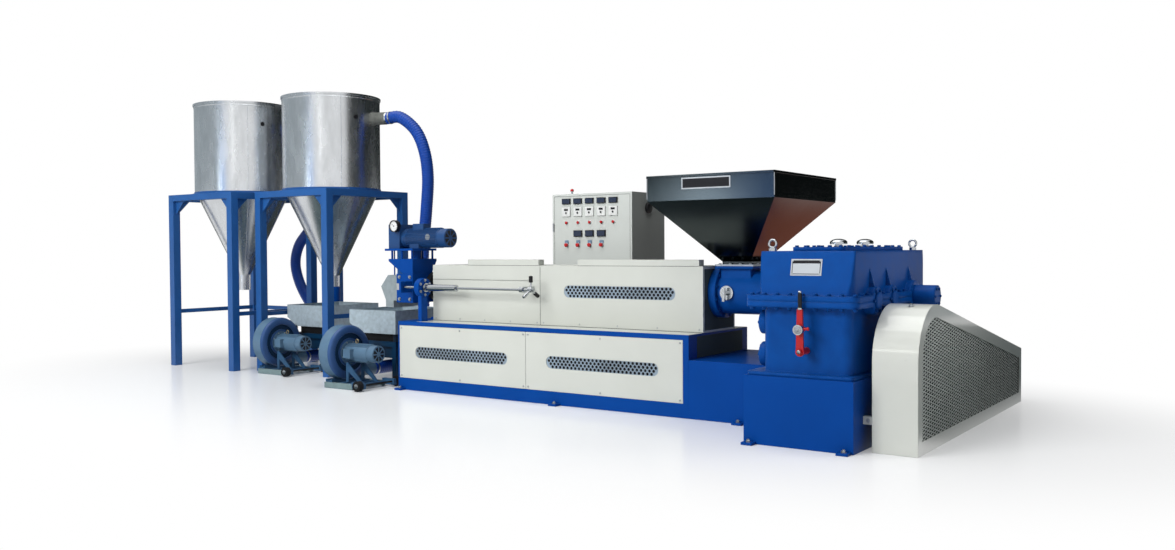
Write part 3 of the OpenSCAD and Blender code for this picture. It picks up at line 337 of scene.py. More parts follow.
# Darker still, for the sunk middle of the blowers' faces: painted shade
RECESS_SHADE_BLUE = look("blower inner face shade", "blue_paint", (0.006, 0.030, 0.075), 0.5, shine=0.2)
RUNNER_GREY = look("runner paint", "blue_paint", (0.17, 0.24, 0.25), 0.5, shine=0.25, tone=0.1, tone_scale=12)
SKID_GREY = look("skid paint", "blue_paint", (0.030, 0.085, 0.17), 0.5, shine=0.3, tone=0.12, tone_scale=12)
CREAM = look("cream paint", "cream_paint", (0.565, 0.58, 0.535), 0.34, shine=0.3, tone=0.02, grain=0.05,
             edge=0.006)
GUARD_CREAM = look("glossy cream paint", "cream_paint", (0.64, 0.655, 0.605), 0.3, shine=0.3, coat=1.0,
                   tone=0.02, edge=0.01)
look("perforated sheet", "perforated_steel", (0.37, 0.45, 0.53), 0.34, metal=0.6, tone=0.3,
     tone_scale=2.2)
DARK = look("dark steel", "dark_steel", (0.03, 0.032, 0.036), 0.45, metal=0.6, grain=0.2)
SILO = look("brushed stainless", "stainless", (0.65, 0.67, 0.69), 0.27, metal=1.0, tone=0.09, tone_scale=9,
            stretch=(1, 1, 0.35), rough_spread=0.05)
# A very dark colour for the hopper's polished steel, standing in for the dark room it mirrors: painted
# reflection
MIRROR = look("hopper steel with painted dark reflections", "stainless", (0.055, 0.064, 0.067), 0.16, metal=1.0, tone=0.2,
              tone_scale=2, rough_spread=0.05, edge=0.004)
GALVANISED = look("galvanised sheet", "stainless", (0.40, 0.48, 0.53), 0.55, metal=0.25, shine=0.3, tone=0.14,
                  tone_scale=22, edge=0.004)
HOOD = look("pale galvanised sheet", "stainless", (0.30, 0.35, 0.37), 0.45, metal=0.3, tone=0.12,
            tone_scale=18)
CHROME = look("chrome", "chrome", (0.50, 0.52, 0.54), 0.15, metal=1.0, tone=0.02, rough_spread=0.03)
STEEL = look("zinc plated steel", "chrome", (0.42, 0.44, 0.46), 0.32, metal=1.0)
BRASS = look("yellowed steel", "chrome", (0.50, 0.42, 0.26), 0.35, metal=1.0, tone=0.08)
RED = look("red paint", "red_paint", (0.42, 0.012, 0.016), 0.30, shine=0.35, tone=0.04, edge=0.004)
# Also the black sheets, rings and discs that stand in for the shade behind the vents, in their holes and in
# the fan cowls' slots: painted shade
BLACK = look("black plastic and painted shade", "black_plastic", (0.008, 0.008, 0.010), 0.4, shine=0.3, tone=0.1)
RED_LENS = look("red lens", "red_plastic", (0.50, 0.01, 0.012), 0.2, shine=0.4)
look("grey cabinet paint", "grey_paint", (0.57, 0.595, 0.57), 0.42, shine=0.3, tone=0.02, grain=0.06,
     edge=0.005)
SEAM_AND_SHADOW = look("seam shadow", "grey_paint", (0.10, 0.105, 0.10), 0.6, shine=0.1)
# Also the dark sheets under the sieve trays, which stand in for the shade there: painted shade
RUBBER_AND_SHADE = look("rubber", "rubber", (0.010, 0.010, 0.011), 0.7, shine=0.2, tone=0.1, grain=0.2)
CUFF = look("worn rubber cuff", "rubber", (0.11, 0.115, 0.105), 0.6, shine=0.25, tone=0.25, tone_scale=14)
HOSE = look("hose plastic", "blue_hose", (0.004, 0.048, 0.30), 0.36, shine=0.3)
WHITE = look("white plastic", "black_plastic", (0.70, 0.71, 0.70), 0.45, shine=0.2, tone=0.02)
METER = look("meter glass", "black_plastic", (0.020, 0.030, 0.060), 0.25, shine=0.4)
BLUE_GREY = look("switch grey", "red_plastic", (0.16, 0.24, 0.34), 0.4, shine=0.3)
# Dark sheets that stand in for the shade inside the belt guard and in the open ends of the cover and deck:
# painted shade
SHADE = look("painted inside shade", "cream_paint", (0.075, 0.095, 0.088), 0.7, shine=0.1)
GUARD_GREY = look("mesh paint", "cream_paint", (0.72, 0.76, 0.72), 0.45, shine=0.2, tone=0.03)
PLATE = look("bare aluminium plate", "chrome", (0.50, 0.53, 0.56), 0.45, metal=0.2, shine=0.2, tone=0.04)

SPECIAL_LOOKS = {
    "hopper": MIRROR, "belt_guard": GUARD_CREAM, "cutter_hood": HOOD, "cutter_motor": MOTOR_BLUE,
    "gearbox_lower": CAST_BLUE, "gearbox_upper": CAST_BLUE, "gearbox_top_cover": CAST_BLUE,
    "gearbox_bearing_caps": CAST_BLUE, "feed_throat": CAST_BLUE,
}
TWIN_LOOKS = {
    "sieve_{}_tray": GALVANISED, "sieve_{}_frame": SHADE_BLUE, "blower_{}_housing": FAN_BLUE,
    "blower_{}_motor": FAN_BLUE, "blower_{}_stand": SKID_GREY, "silo_{}_stand": STAND_SHEEN_BLUE,
}
for pattern, twin_look in TWIN_LOOKS.items():
    for number in (1, 2):
        SPECIAL_LOOKS[pattern.format(number)] = twin_look


def dress_nodes():
    """Gives every CAD node its material."""
    slots = {row["node"]: row["material_slot"] for row in frame["record"]["subparts"]}
    for name, obj in frame["nodes"].items():
        chosen = SPECIAL_LOOKS.get(name) or NODE_LOOKS[slots[name]]
        obj.data.materials.clear()
        obj.data.materials.append(chosen)


# Camera, floor and light, in metres

EYE = (6.2315, -8.4415, 1.5)
YAW, PITCH, ROLL = (radians(a) for a in (35.06, 1.42, -0.33))
SENSOR = 36
FOCAL_PIXELS = 1020
PHOTO_PIXELS = 1175


def set_camera():
    ahead = Vector((-sin(YAW) * cos(PITCH), cos(YAW) * cos(PITCH), -sin(PITCH)))
    right = Vector((cos(YAW), sin(YAW), 0))
    up = right.cross(ahead)
    side = right * cos(ROLL) + up * sin(ROLL)
    top = up * cos(ROLL) - right * sin(ROLL)
    lens = bpy.data.cameras.new("camera")
    lens.sensor_width = SENSOR
    lens.lens = SENSOR * FOCAL_PIXELS / PHOTO_PIXELS
    camera = add_object("camera", lens)
    turn = Matrix((side, top, -ahead)).transposed().to_4x4()
    camera.matrix_world = Matrix.Translation(EYE) @ turn
    bpy.context.scene.camera = camera
    bpy.context.scene.view_settings.view_transform = "Standard"


def set_lights():
    add_lamp("key", (-2.6, -12.5, 7.0), (0.2, 0.0, 1.0), (8.0, 5.0), 1480, mirrored=False)
    add_lamp("top", (-1.0, -2.0, 10.0), (-1.0, 0.0, 0.0), (12.0, 7.0), 620)
    add_lamp("gearbox side", (4.7, -0.4, 2.3), (3.6, -0.4, 1.3), (0.6, 1.6), 13, mirrored=False)
    # Cards that only show in reflections: the dark and dim surroundings, the sheen on the hopper's rim, and
    # two lamps that show as streaks on round glossy edges
    dark, dim, lamp = (0.02, 0.025, 0.025), (0.40, 0.45, 0.48), (6.0, 6.0, 5.8)
    cards = (
        ("right card", (9, -1, 1.7), (9, 22, 18), dark),
        ("back card", (9, 15, 2.4), (-30, 15, 18), dark),
        ("left card", (-14, -15, 1.7), (-14, 9, 9), dim),
        ("front card", (-14, -15, 1.7), (-4, -15, 9), dim),
        ("rim left", (-9.0, -14.9, 2.0), (-6.5, -14.9, 3.5), (0.25, 0.35, 0.40)),
        ("rim glow", (-6.5, -14.9, 2.2), (-5.0, -14.9, 3.0), (9, 10, 11)),
        ("rim right", (-5.0, -14.9, 2.0), (-2.0, -14.9, 3.5), (0.4, 0.9, 2.0)),
        ("low streak", (-0.1, -10, 3.85), (1.4, -10, 4.25), lamp),
    )
    for name, low, high, color in cards:
        add_card(name, upright(low, high), color)
    add_card("high streak", [(0, -6.8, 8.3), (1.4, -6.8, 8.3), (1.4, -6.5, 8.6), (0, -6.5, 8.6)], lamp)
    # A black flag that shades the right side of the cabinet
    add_card("flag", upright((0.8, 0.5, 0.8), (0.8, 1.6, 2.5)), (0, 0, 0), shades=True)


def set_world():
    """White to the camera and in reflections, and a weak bluish light for all else."""
    world = bpy.data.worlds.new("studio")
    bpy.context.scene.world = world
    world.use_nodes = True
    graph = Graph(world.node_tree)
    graph.nodes.clear()
    rays = graph.add("LightPath")
    shown = graph.join("MAXIMUM", rays["Is Camera Ray"], rays["Is Glossy Ray"])
    shown = graph.join("MAXIMUM", shown, rays["Is Transmission Ray"])
    soft = graph.add("Background", {"Color": (0.90, 0.95, 1.0, 1), "Strength": 0.16})[0]
    white = graph.add("Background", {"Color": (1, 1, 1, 1), "Strength": 1.0})[0]
    mix = graph.add("MixShader", {"Fac": shown, 1: soft, 2: white})[0]
    graph.add("OutputWorld", {"Surface": mix})


def box_mask(graph, place, low, high, soft):
    """One inside a rectangle on the floor, falling to nothing across its soft edge."""
    result = 1.0
    for axis in (0, 1):
        for edge, way in ((low[axis], 1), (high[axis], -1)):
            step = graph.step(place[axis], edge - way * soft, edge + way * soft)
            result = graph.join("MULTIPLY", result, step)
    return result


def add_plane(name, corners):
    """A flat piece of the stage, and the nodes of its material."""
    mesh = bpy.data.meshes.new(name)
    mesh.from_pydata(corners, [], [(0, 1, 2, 3)])
    plane = add_object(name, mesh)
    paint = bpy.data.materials.new(name)
    paint.use_nodes = True
    mesh.materials.append(paint)
    return plane, Graph(paint.node_tree)


def set_floor():
    """A pale floor that turns white towards the backdrop, with other ground in reflections."""
    half = 60.0
    corners = [(-half, -half, 0), (half, -half, 0), (half, half, 0), (-half, half, 0)]
    floor, graph = add_plane("floor", corners)
    floor.location.z = -0.001
    place = graph.add("TexCoord")["Object"]
    rays = graph.add("LightPath")
    split = graph.add("SeparateXYZ", {0: place})
    # Less light comes back from the floor beside the guard
    beside = box_mask(graph, split, (4.0, -1.0), (12.0, 14.0), 0.3)
    dim = graph.join("MULTIPLY", beside, rays["Is Diffuse Ray"])
    bounce = graph.blend(dim, (0.95, 0.96, 0.97, 1), (0.03, 0.04, 0.04, 1))
    shader = graph.nodes["Principled BSDF"]
    graph.feed(shader, {"Roughness": 0.22, "Specular IOR Level": 0.12, "Base Color": bounce})
    # White further out, for the camera
    shift = graph.add("Mapping", {"Vector": place, "Location": (0.55, -0.2, 0), "Scale": (0.55, 1, 1)})[0]
    far = graph.add("VectorMath", {0: shift}, operation="LENGTH")["Value"]
    shown = graph.join("MULTIPLY", graph.step(far, 2.0, 4.6), rays["Is Camera Ray"])
    white = graph.add("Emission", {"Color": (1, 1, 1, 1)})[0]
    seen = graph.add("MixShader", {"Fac": shown, 1: shader.outputs[0], 2: white})[0]
    # Painted reflections: darker and tinted patches of floor that only polished metal sees
    color = (1, 1, 1, 1)
    zones = (
        ((-5.0, -5.5), (3.7, -0.4), (0.10, 0.14, 0.15)),
        ((0.6, 2.4), (3.3, 12.0), (0.50, 0.17, 0.11)),
        ((-30.0, 0.8), (0.0, 30.0), (0.05, 0.06, 0.06)),
        ((8.0, 9.0), (59.0, 59.0), (0.04, 0.08, 0.12)),
        ((4.0, -0.5), (7.6, 12.0), (0.08, 0.10, 0.10)),
    )
    for low, high, tint in zones:
        color = graph.blend(box_mask(graph, split, low, high, 0.4), color, (*tint, 1))
    ground = graph.add("Emission", {"Color": color})[0]
    mix = graph.add("MixShader", {"Fac": rays["Is Glossy Ray"], 1: seen, 2: ground})[0]
    graph.feed(graph.nodes["Material Output"], {"Surface": mix})


def upright(low, high):
    """Corners of an upright rectangle between two opposite ones."""
    (x0, y0, z0), (x1, y1, z1) = low, high
    return [(x0, y0, z0), (x1, y1, z0), (x1, y1, z1), (x0, y0, z1)]


def add_card(name, corners, color, shades=False):
    """A coloured card beside the set, seen by reflections only, or one that only takes light away."""
    card, graph = add_plane(name, corners)
    glow = graph.add("Emission", {"Color": (*color, 1)})[0]
    graph.feed(graph.nodes["Material Output"], {"Surface": glow})
    card.visible_camera = False
    card.visible_diffuse = shades
    card.visible_glossy = not shades
    card.visible_transmission = False
    card.visible_shadow = shades


def add_lamp(name, place, target, size, power, mirrored=True):
    data = bpy.data.lights.new(name, "AREA")
    data.shape = "RECTANGLE"
    data.size, data.size_y = size
    data.energy = power
    lamp = add_object(name, data)
    lamp.location = place
    lamp.rotation_euler = (Vector(target) - Vector(place)).to_track_quat("-Z", "Y").to_euler()
    lamp.visible_glossy = mirrored


# Conveying hoses

def hose_routes():
    """Points of both hoses. The second bows out further behind the silos than the CAD source has it."""
    def outlet(number, lead):
        x, y = BLOWERS[number]
        return (x - 70, y + 420 + lead, 150)

    def inlet(number, lead):
        x, y, angle = SILOS[number]
        return Vector((x, y, INLET_Z)) + outward(angle) * (DRUM_R + 210 + lead)

    first = [
        outlet("2", 0), outlet("2", 180), (-2560, 200, 155), (-2600, 460, 175), (-2645, 640, 280),
        (-2695, 745, 540), (-2740, 780, 860), (-2750, 780, 1200), (-2720, 775, 1600), (-2660, 765, 2000),
        (-2610, 745, 2400), (-2630, 710, 2720), (-2740, 675, 2980), inlet("2", 180), inlet("2", 0),
    ]
    second = [
        outlet("1", 0), outlet("1", 180), (-4265, 640, 150), (-4268, 920, 152), (-4330, 1150, 175),
        (-4490, 1310, 235), (-4750, 1350, 330), (-5080, 1350, 450), (-5380, 1335, 620), (-5600, 1325, 830),
        (-5770, 1320, 1090), (-5835, 1320, 1340), (-5755, 1320, 1580), (-5560, 1320, 1770),
        (-5300, 1320, 2000), (-5040, 1315, 2300), (-4820, 1270, 2680), (-4700, 1110, 3000),
        (-4680, 900, 3140), inlet("1", 108), inlet("1", 0),
    ]
    return {"hose_1": first, "hose_2": second}


def smooth_route(points, step):
    """Evenly spaced points on a smooth curve through the given ones."""
    points = [Vector(p) for p in points]
    padded = [points[0] * 2 - points[1], *points, points[-1] * 2 - points[-2]]
    dense = []
    parts = 40
    for i in range(1, len(padded) - 2):
        a, b, c, d = padded[i - 1:i + 3]
        for k in range(parts):
            t = k / parts
            dense.append(0.5 * (2 * b + (c - a) * t + (2 * a - 5 * b + 4 * c - d) * t * t
                                + (3 * b - 3 * c + d - a) * t ** 3))
    dense.append(points[-1])
    out = [dense[0]]
    left = step
    for a, b in zip(dense, dense[1:]):
        length = (b - a).length
        walked = 0.0
        while length - walked >= left:
            walked += left
            out.append(a + (b - a) * (walked / length))
            left = step
        left -= length - walked
    out.append(dense[-1])
    return out


def make_hose(name, points):
    """A ribbed hose along its route, with a clamp at each end."""
    step, pitch, sides, rib = 7.5, 30.0, 24, 2.5
    route = smooth_route(points, step)
    rings = []
    u = None
    for i, p in enumerate(route):
        ahead = (route[min(i + 1, len(route) - 1)] - route[max(i - 1, 0)]).normalized()
        if u is None:
            u = across(ahead)[0]
        u = (u - ahead * u.dot(ahead)).normalized()
        v = ahead.cross(u)
        r = HOSE_R - rib + rib * cos(2 * pi * i * step / pitch)
        rings += [p + (u * c + v * s) * r for s, c in circle(sides)]
    hose = Shape()
    hose.add(rings, strips(len(route), sides))
    hose.make(name + "_ribbed", HOSE, replaces=[name], sharp=60)
    clamps = Shape()
    for i in (6, -7):
        axis = (route[i + 1] - route[i - 1]).normalized()
        clamps.band(route[i] - axis * 9, axis, HOSE_R + 0.5, HOSE_R + 2.5, 18)
        u, v = across(axis)
        screw = route[i] + u * 80
        clamps.bar(screw - v * 18, screw + v * 18, 6, 12)
    clamps.make(name + "_clamps", STEEL)


# Covers, bolts and screws of the base, the barrel and the throat

def slot_edge(up, steps=10):
    """Upper or lower edge of a slot in X and Z round its middle, from its left end to its right one."""
    r = VENT_HEIGHT / 2
    reach = VENT_LENGTH / 2 - r
    arc = [pi / 2 * i / steps for i in range(steps + 1)]
    left = [(-reach - r * cos(a), up * r * sin(a)) for a in arc]
    return left + [(-x, z) for x, z in reversed(left)]


def make_covers():
    """The barrel's covers, with lids along the front only, where the CAD source has them full depth."""
    left, right, sheet = shapes(3)
    x0, x1 = COVERS[0]
    groove_z = (BASE_TOP + 447, BASE_TOP + 453)
    for half, z0, z1 in ((COVER_Y, BASE_TOP, groove_z[0]), (COVER_Y - 1.5, *groove_z),
                         (COVER_Y, groove_z[1], COVER_TOP)):
        left.box((x0, -half, z0), (x1, half, z1))

    # Top and ends of the right cover, then its walls above and below the slots
    x0, x1 = COVERS[1]
    low = [(x0, -COVER_Y), (x1, -COVER_Y), (x1, COVER_Y), (x0, COVER_Y)]
    corners = [(x, y, z) for z in (BASE_TOP, COVER_TOP) for x, y in low]
    right.add(corners, [(4, 5, 6, 7), (1, 2, 6, 5), (3, 0, 4, 7)])
    middle, height = COVER_VENT
    for side in (-1, 1):
        y = side * COVER_Y
        for up, z_end in ((1, COVER_TOP), (-1, BASE_TOP)):
            edge = [(middle + x, y, height + z) for x, z in slot_edge(up)]
            wall = [(x0, y, height), *edge, (x1, y, height), (x1, y, z_end), (x0, y, z_end)]
            ahead = list(range(len(wall)))
            right.add(wall, [ahead if side * up < 0 else ahead[::-1]])
            inner = [(x, y - side * COVER_SHEET, z) for x, y, z in edge]
            count = len(edge)
            right.add(edge + inner, [(i, i + 1, count + i + 1, count + i) for i in range(count - 1)])
    for shape, (x0, x1) in ((left, LIDS[0]), (right, LIDS[1])):
        shape.box((x0, -COVER_Y, COVER_TOP), (x1, LID_DEPTH - COVER_Y, COVER_TOP + LID_RISE))
    sheet.box((COVERS[0][0], 4 - BASE_Y, BASE_TOP), (COVERS[1][1] - 4, BASE_Y - 4, BASE_TOP + 1))
    sheet.make("deck_top_sheet", CREAM)
    left.make("barrel_cover_left_folded", CREAM, replaces=["barrel_cover_left"])
    right.make("barrel_cover_right_folded", CREAM, replaces=["barrel_cover_right"])


def add_vent_hole_shade():
    """Black rings round each hole of the perforated sheets, which widen the holes' dark: painted shade."""
    rims = Shape()
    rows, columns = 4, 26
    row_pitch = VENT_HEIGHT / 4.15
    hole_pitch = row_pitch * 1.55
    inner, outer, thick = 11.6, 14.4, 0.5
    sheets = [(sum(span) / 2, VENT_Z, BASE_Y - PANEL_THICK) for span in PANEL_SPANS]
    sheets.append((*COVER_VENT, COVER_Y - COVER_SHEET))
    for middle, z, face in sheets:
        for side in (-1, 1):
            for row in range(rows):
                count = columns - row % 2
                for i in range(-1, count + 1):
                    x = middle + (i - (count - 1) / 2) * hole_pitch
                    spot = (x, side * (face + 0.1), z + (row - (rows - 1) / 2) * row_pitch)
                    if 0 <= i < count:
                        rims.band(spot, Y * side, inner, outer, thick, 12)
                    elif row:
                        # Black discs that stand in for holes towards the slot's round ends: painted shade
                        rims.lathe(spot, Y * side, [(outer, 0), (outer, thick)], 12)
    rims.make("vent_hole_shade", BLACK)


def make_fasteners():
    anchors = Shape()
    lug, lug_top = 40, 20
    places = [(x, side * (BASE_Y + lug)) for x in (-1740, 340, 2300) for side in (-1, 1)]
    places += [(x, y) for x in (PEDESTAL_X[0] + 60, PEDESTAL_X[1] - 60)
               for y in (PEDESTAL_Y[0] - lug, PEDESTAL_Y[1] + lug)]
    for x, y in places:
        anchors.nut((x, y, lug_top), Z, 20)
    anchors.make("anchor_nuts", STEEL)

    screws = Shape()
    for side in (-1, 1):
        for x0, x1 in PANEL_SPANS:
            for x in (x0 + 30, (x0 + x1) / 2, x1 - 30):
                for z in (PANEL_Z[0] + 28, PANEL_Z[1] - 28):
                    screws.screw((x, side * BASE_Y, z), Y * side, 9)
        for x0, x1 in COVERS:
            for i in range(5):
                x = x0 + 40 + (x1 - x0 - 80) * i / 4
                screws.screw((x, side * COVER_Y, BASE_TOP + 28), Y * side, 8)
    screws.make("panel_screws", STEEL)

    # Black sheets behind the vents stand in for the shade inside the base and the cover: painted shade
    vent_shade = Shape()
    for side in (-1, 1):
        y = side * (BASE_Y - 40)
        for x0, x1 in PANEL_SPANS:
            vent_shade.tile((x0 + x1) / 2, 445, 690, 115, y, y - side * 3)
        y = side * (COVER_Y - 30)
        vent_shade.tile(880, AXIS_Z - 15, 680, 105, y, y - side * 3)
    vent_shade.make("vent_inside_shade", BLACK)
    add_vent_hole_shade()

    seams = Shape()
    proud = 0.8
    for side in (-1, 1):
        y = side * COVER_Y
        out = y + side * proud
        seams.box((-59.5, y, BASE_TOP + 4), (-54.5, out, 1330))
        # A dark line along the covers' foot: painted shadow
        seams.box((COVERS[0][0], y, BASE_TOP + 1), (COVERS[1][1], out, BASE_TOP + 6))
        seams.box((-1528, y, 1186), (-190, out, 1189))
    for x0, x1 in LIDS:
        seams.box((x0, -COVER_Y - proud, COVER_TOP - 3), (x1, -COVER_Y, COVER_TOP + 1))
    seams.make("cover_seams_and_shadow_line", SEAM_AND_SHADOW)
    # The ends of the barrel's cover and of the deck are open; dark sheets there stand in for the shade inside
    # them: painted shade
    end_sheets = Shape()
    x0, x1 = COVERS[1][1] + 0.3, COVERS[1][1] + 1.8
    end_sheets.box((x0, -COVER_Y + 26, BASE_TOP + 20), (x1, COVER_Y - 26, COVER_TOP - 26))
    end_sheets.box((x0, -430, TAIL_TOP + 6), (x1, 470, BASE_TOP - 22))
    end_sheets.make("cover_open_end_shade", SHADE)

    throat = Shape()
    bolt_r = 219
    for s, c in circle(12, 0.5):
        y, z = bolt_r * s, AXIS_Z + bolt_r * c
        throat.bolt((1881, y, z), X, 16)
        throat.bolt((2644, y, z), -X, 16)
    throat.make("throat_bolts", CAST_BLUE)


# Gearbox

def upper_face(z):
    """Y of the leaning front of the upper casing at a height."""
    return CASE_Y[0] + CASE_LEAN * (z - AXIS_Z) / (UPPER_TOP - AXIS_Z)


def make_gearbox():
    flange = Shape()
    for x in range(2775, 3600, 102):
        for y in (CASE_Y[0] - 23, CASE_Y[1] + 28):
            flange.bolt((x, y, SPLIT_Z[1]), Z, 20)
            flange.nut((x, y, SPLIT_Z[0]), -Z, 20)
    for y in (-1180, -1060, -730, -330, -200, 200, 330):
        flange.bolt((GEARBOX_X[1] + 36, y, SPLIT_Z[1]), Z, 20)
    for y in (-1180, -1000, -820, -640, -460, 330):
        flange.bolt((GEARBOX_X[0] - 42, y, SPLIT_Z[1]), Z, 20)
    flange.make("gearbox_flange_bolts", CAST_BLUE)

    cover = Shape()
    top, inset = UPPER_TOP + 30, 32
    x0, x1 = GEARBOX_X[0] + 205 + inset, GEARBOX_X[1] - 130 - inset
    y0, y1 = CASE_Y[0] + CASE_LEAN + 95 + inset, CASE_Y[1] - CASE_LEAN - 95 - inset
    for i in range(9):
        for x in (x0, x1):
            cover.bolt((x, y0 + (y1 - y0) * i / 8, top), Z, 16)
    for i in (1, 2, 3):
        for y in (y0, y1):
            cover.bolt((x0 + (x1 - x0) * i / 4, y, top), Z, 16)
    cover.make("gearbox_cover_bolts", CAST_BLUE)

    domes = Shape()
    dome_r = 68.6
    profile = [(dome_r, 24)]
    for k in range(9):
        a = pi / 2 * k / 9
        profile.append((dome_r * cos(a), 34 + 30 * sin(a)))
    for x, y in ((3225, -700), (3295, -300)):
        domes.lathe((x, y, top), Z, profile, 40)
        domes.lathe((x, y, top), Z, [(36, 0), (36, 10)], 6)
    domes.make("breather_domes", CHROME, sharp=50)

    caps = Shape()
    face = GEARBOX_X[1]
    for s, c in circle(6, 0.5):
        caps.bolt((face + 240, SHAFT_Y[2] + 68 * s, AXIS_Z + 68 * c), X, 12)
        caps.bolt((face + 40, INPUT[0] + 76 * s, INPUT[1] + 76 * c), X, 12)
        for z in (INPUT[1] + 20, SPLIT_Z[0] - 130):
            caps.bolt((GEARBOX_X[0] - 40, CASE_Y[0] + 200 + 74 * s, z + 74 * c), -X, 14)
        for y in SHAFT_Y[:2]:
            caps.bolt((face + 60, y + 84 * s, AXIS_Z + 84 * c), X, 14)
    for y in SHAFT_Y[:2]:
        caps.lathe((face + 60, y, AXIS_Z), X, [(66, 0), (66, 10), (58, 16)], 48)
    caps.make("bearing_cap_bolts", CAST_BLUE)
    make_gearbox_plate()


def make_gearbox_plate():
    """A bare plate on the casing's leaning front, with a printed border and four rivets."""
    x0, x1 = 3060, 3306
    z0, z1 = 1296, 1420
    y0, y1 = upper_face(z0), upper_face(z1)
    thick, printed, margin, line = 3, 0.6, 10, 5
    out = Vector((0, z0 - z1, y1 - y0)).normalized()
    low = [Vector(c) for c in ((x0, y0, z0), (x1, y0, z0), (x1, y1, z1), (x0, y1, z1))]
    plate = Shape()
    plate.add(low + [c + out * thick for c in low], PRISM)
    plate.make("gearbox_plate", PLATE)
    border = Shape()
    rise = (low[3] - low[0]).normalized()
    right, top = x1 - x0 - margin, (low[3] - low[0]).length - margin
    for u0, u1, v0, v1 in ((margin, right, margin, margin + line), (margin, right, top - 24, top),
                           (margin, margin + line, margin, top), (right - line, right, margin, top)):
        spots = [low[0] + X * u + rise * v + out * thick for u, v in ((u0, v0), (u1, v0), (u1, v1), (u0, v1))]
        border.add(spots + [spot + out * printed for spot in spots], PRISM)
    border.make("plate_border", BLACK)
    rivets = Shape()
    for x in (x0 + 14, x1 - 14):
        for z in (z0 + 14, z1 - 14):
            rivets.screw(Vector((x, upper_face(z), z)) + out * thick, out, 6)
    rivets.make("plate_rivets", STEEL)


# Belt guard

def guard_points(inset, steps=24):
    """Outline of the guard in Y and Z, drawn in by inset."""
    r = GUARD_R - inset
    points = []
    for i in range(steps + 1):
        a = pi + (pi / 2 - GUARD_FALL - pi) * i / steps
        points.append((INPUT[0] + r * cos(a), INPUT[1] + r * sin(a)))
    start = points[-1]
    rear = GUARD_REAR - inset
    points.append((rear, start[1] - (rear - start[0]) * tan(GUARD_FALL)))
    points.append((rear, inset))
    points.append((INPUT[0] - r, inset))
    return points


def inside(points, y, z):
    """Whether a place lies inside an outline."""
    result = False
    for (y0, z0), (y1, z1) in zip(points, points[1:] + points[:1]):
        if (z0 > z) != (z1 > z) and y < (y1 - y0) * (z - z0) / (z1 - z0) + y0:
            result = not result
    return result


def make_guard():
    outline = guard_points(81)
    half_pitch, rise, wide, thick = 52.0, 13.5, 3.4, 1.4
    rows, columns = 72, 62
    plane = GUARD_X[1] - 4 - 1.6
    mesh = Shape()
    y0, z0 = INPUT[0] - GUARD_R, 90
    for row in range(rows):
        for i in range(columns):
            ends = [(y0 + k * half_pitch, z0 + row * rise + rise * ((k + row) % 2)) for k in (i, i + 1)]
            if not all(inside(outline, *end) for end in ends):
                continue
            (ya, za), (yb, zb) = ends
            along = Vector((0, yb - ya, zb - za)).normalized()
            side = Vector((0, -along.z, along.y))
            points = []
            for y, z in ends:
                for s, t in ((-1, -1), (1, -1), (1, 1), (-1, 1)):
                    points.append(Vector((plane + t * thick, y, z)) + side * (s * wide))
            mesh.add(points, PRISM)
    mesh.make("guard_wire_mesh", GUARD_GREY, replaces=["guard_mesh"])

    # A dark sheet round the guard's inside, open towards the mesh, that stands in for the shade in there:
    # painted shade
    shade_sheet = Shape()
    edge = guard_points(8)
    count = len(edge)
    points = [(x, y, z) for x in (GUARD_X[0] + 8, GUARD_X[1] - 12) for y, z in edge]
    faces = [tuple(range(count))]
    for i in range(count):
        j = (i + 1) % count
        faces.append((i, j, count + j, count + i))
    shade_sheet.add(points, faces)
    shade_sheet.make("guard_inside_shade", SHADE)

    bolts = Shape()
    for y in (INPUT[0] - 390, PEDESTAL_Y[1] - 120):
        bolts.bolt(((PEDESTAL_X[1] + GUARD_X[0]) / 2, y, 230), -Y, 14)
    lean = radians(15)
    out = Vector((0, -sin(lean), cos(lean)))
    bolts.nut(Vector((3845, *INPUT)) + out * GUARD_R, out, 18)
    bolts.make("guard_bracket_bolts", STEEL)


# Gear lever and star handle

def make_lever():
    body = "gear_lever_body"
    lever_y = CASE_Y[0] - 90
    grip, rings, knob, arm, pin = shapes(5)
    base = (LEVER_X, lever_y + 7.5, 1051)
    profile = [(11, -6), (17, 0), (17, 12), (14, 16), (16, 40), (16, 104), (13, 120), (13, 124)]
    grip.lathe(base, Z, profile, 24)
    grip.make("lever_black_grip", BLACK, body=body, replaces=["lever_grip"])
    rings.lathe(base, Z, [(18, -2), (18, 10)], 24)
    rings.lathe(base, Z, [(14, 122), (15, 128), (10, 136)], 24)
    rings.make("lever_grip_rings", CHROME, body=body)
    knob.lathe((LEVER_X, lever_y - 38, 900), -Y, [(31, 0), (31, 3), (10, 4), (10, 9), (4, 10)], 24)
    knob.make("lever_knob_face", STEEL, body=body)
    arm.bar((LEVER_X + 12, lever_y - 8, 905), (LEVER_X + 62, lever_y - 8, 908), 9, 20)
    arm.lathe((LEVER_X + 60, lever_y - 8, 908), X, [(9, 0), (13, 4), (13, 14), (9, 18)], 20)
    arm.make("lever_side_arm", RED, body=body)
    pin.screw((LEVER_X, lever_y - 18, 735), -Y, 14)
    pin.make("lever_pin_head", STEEL)


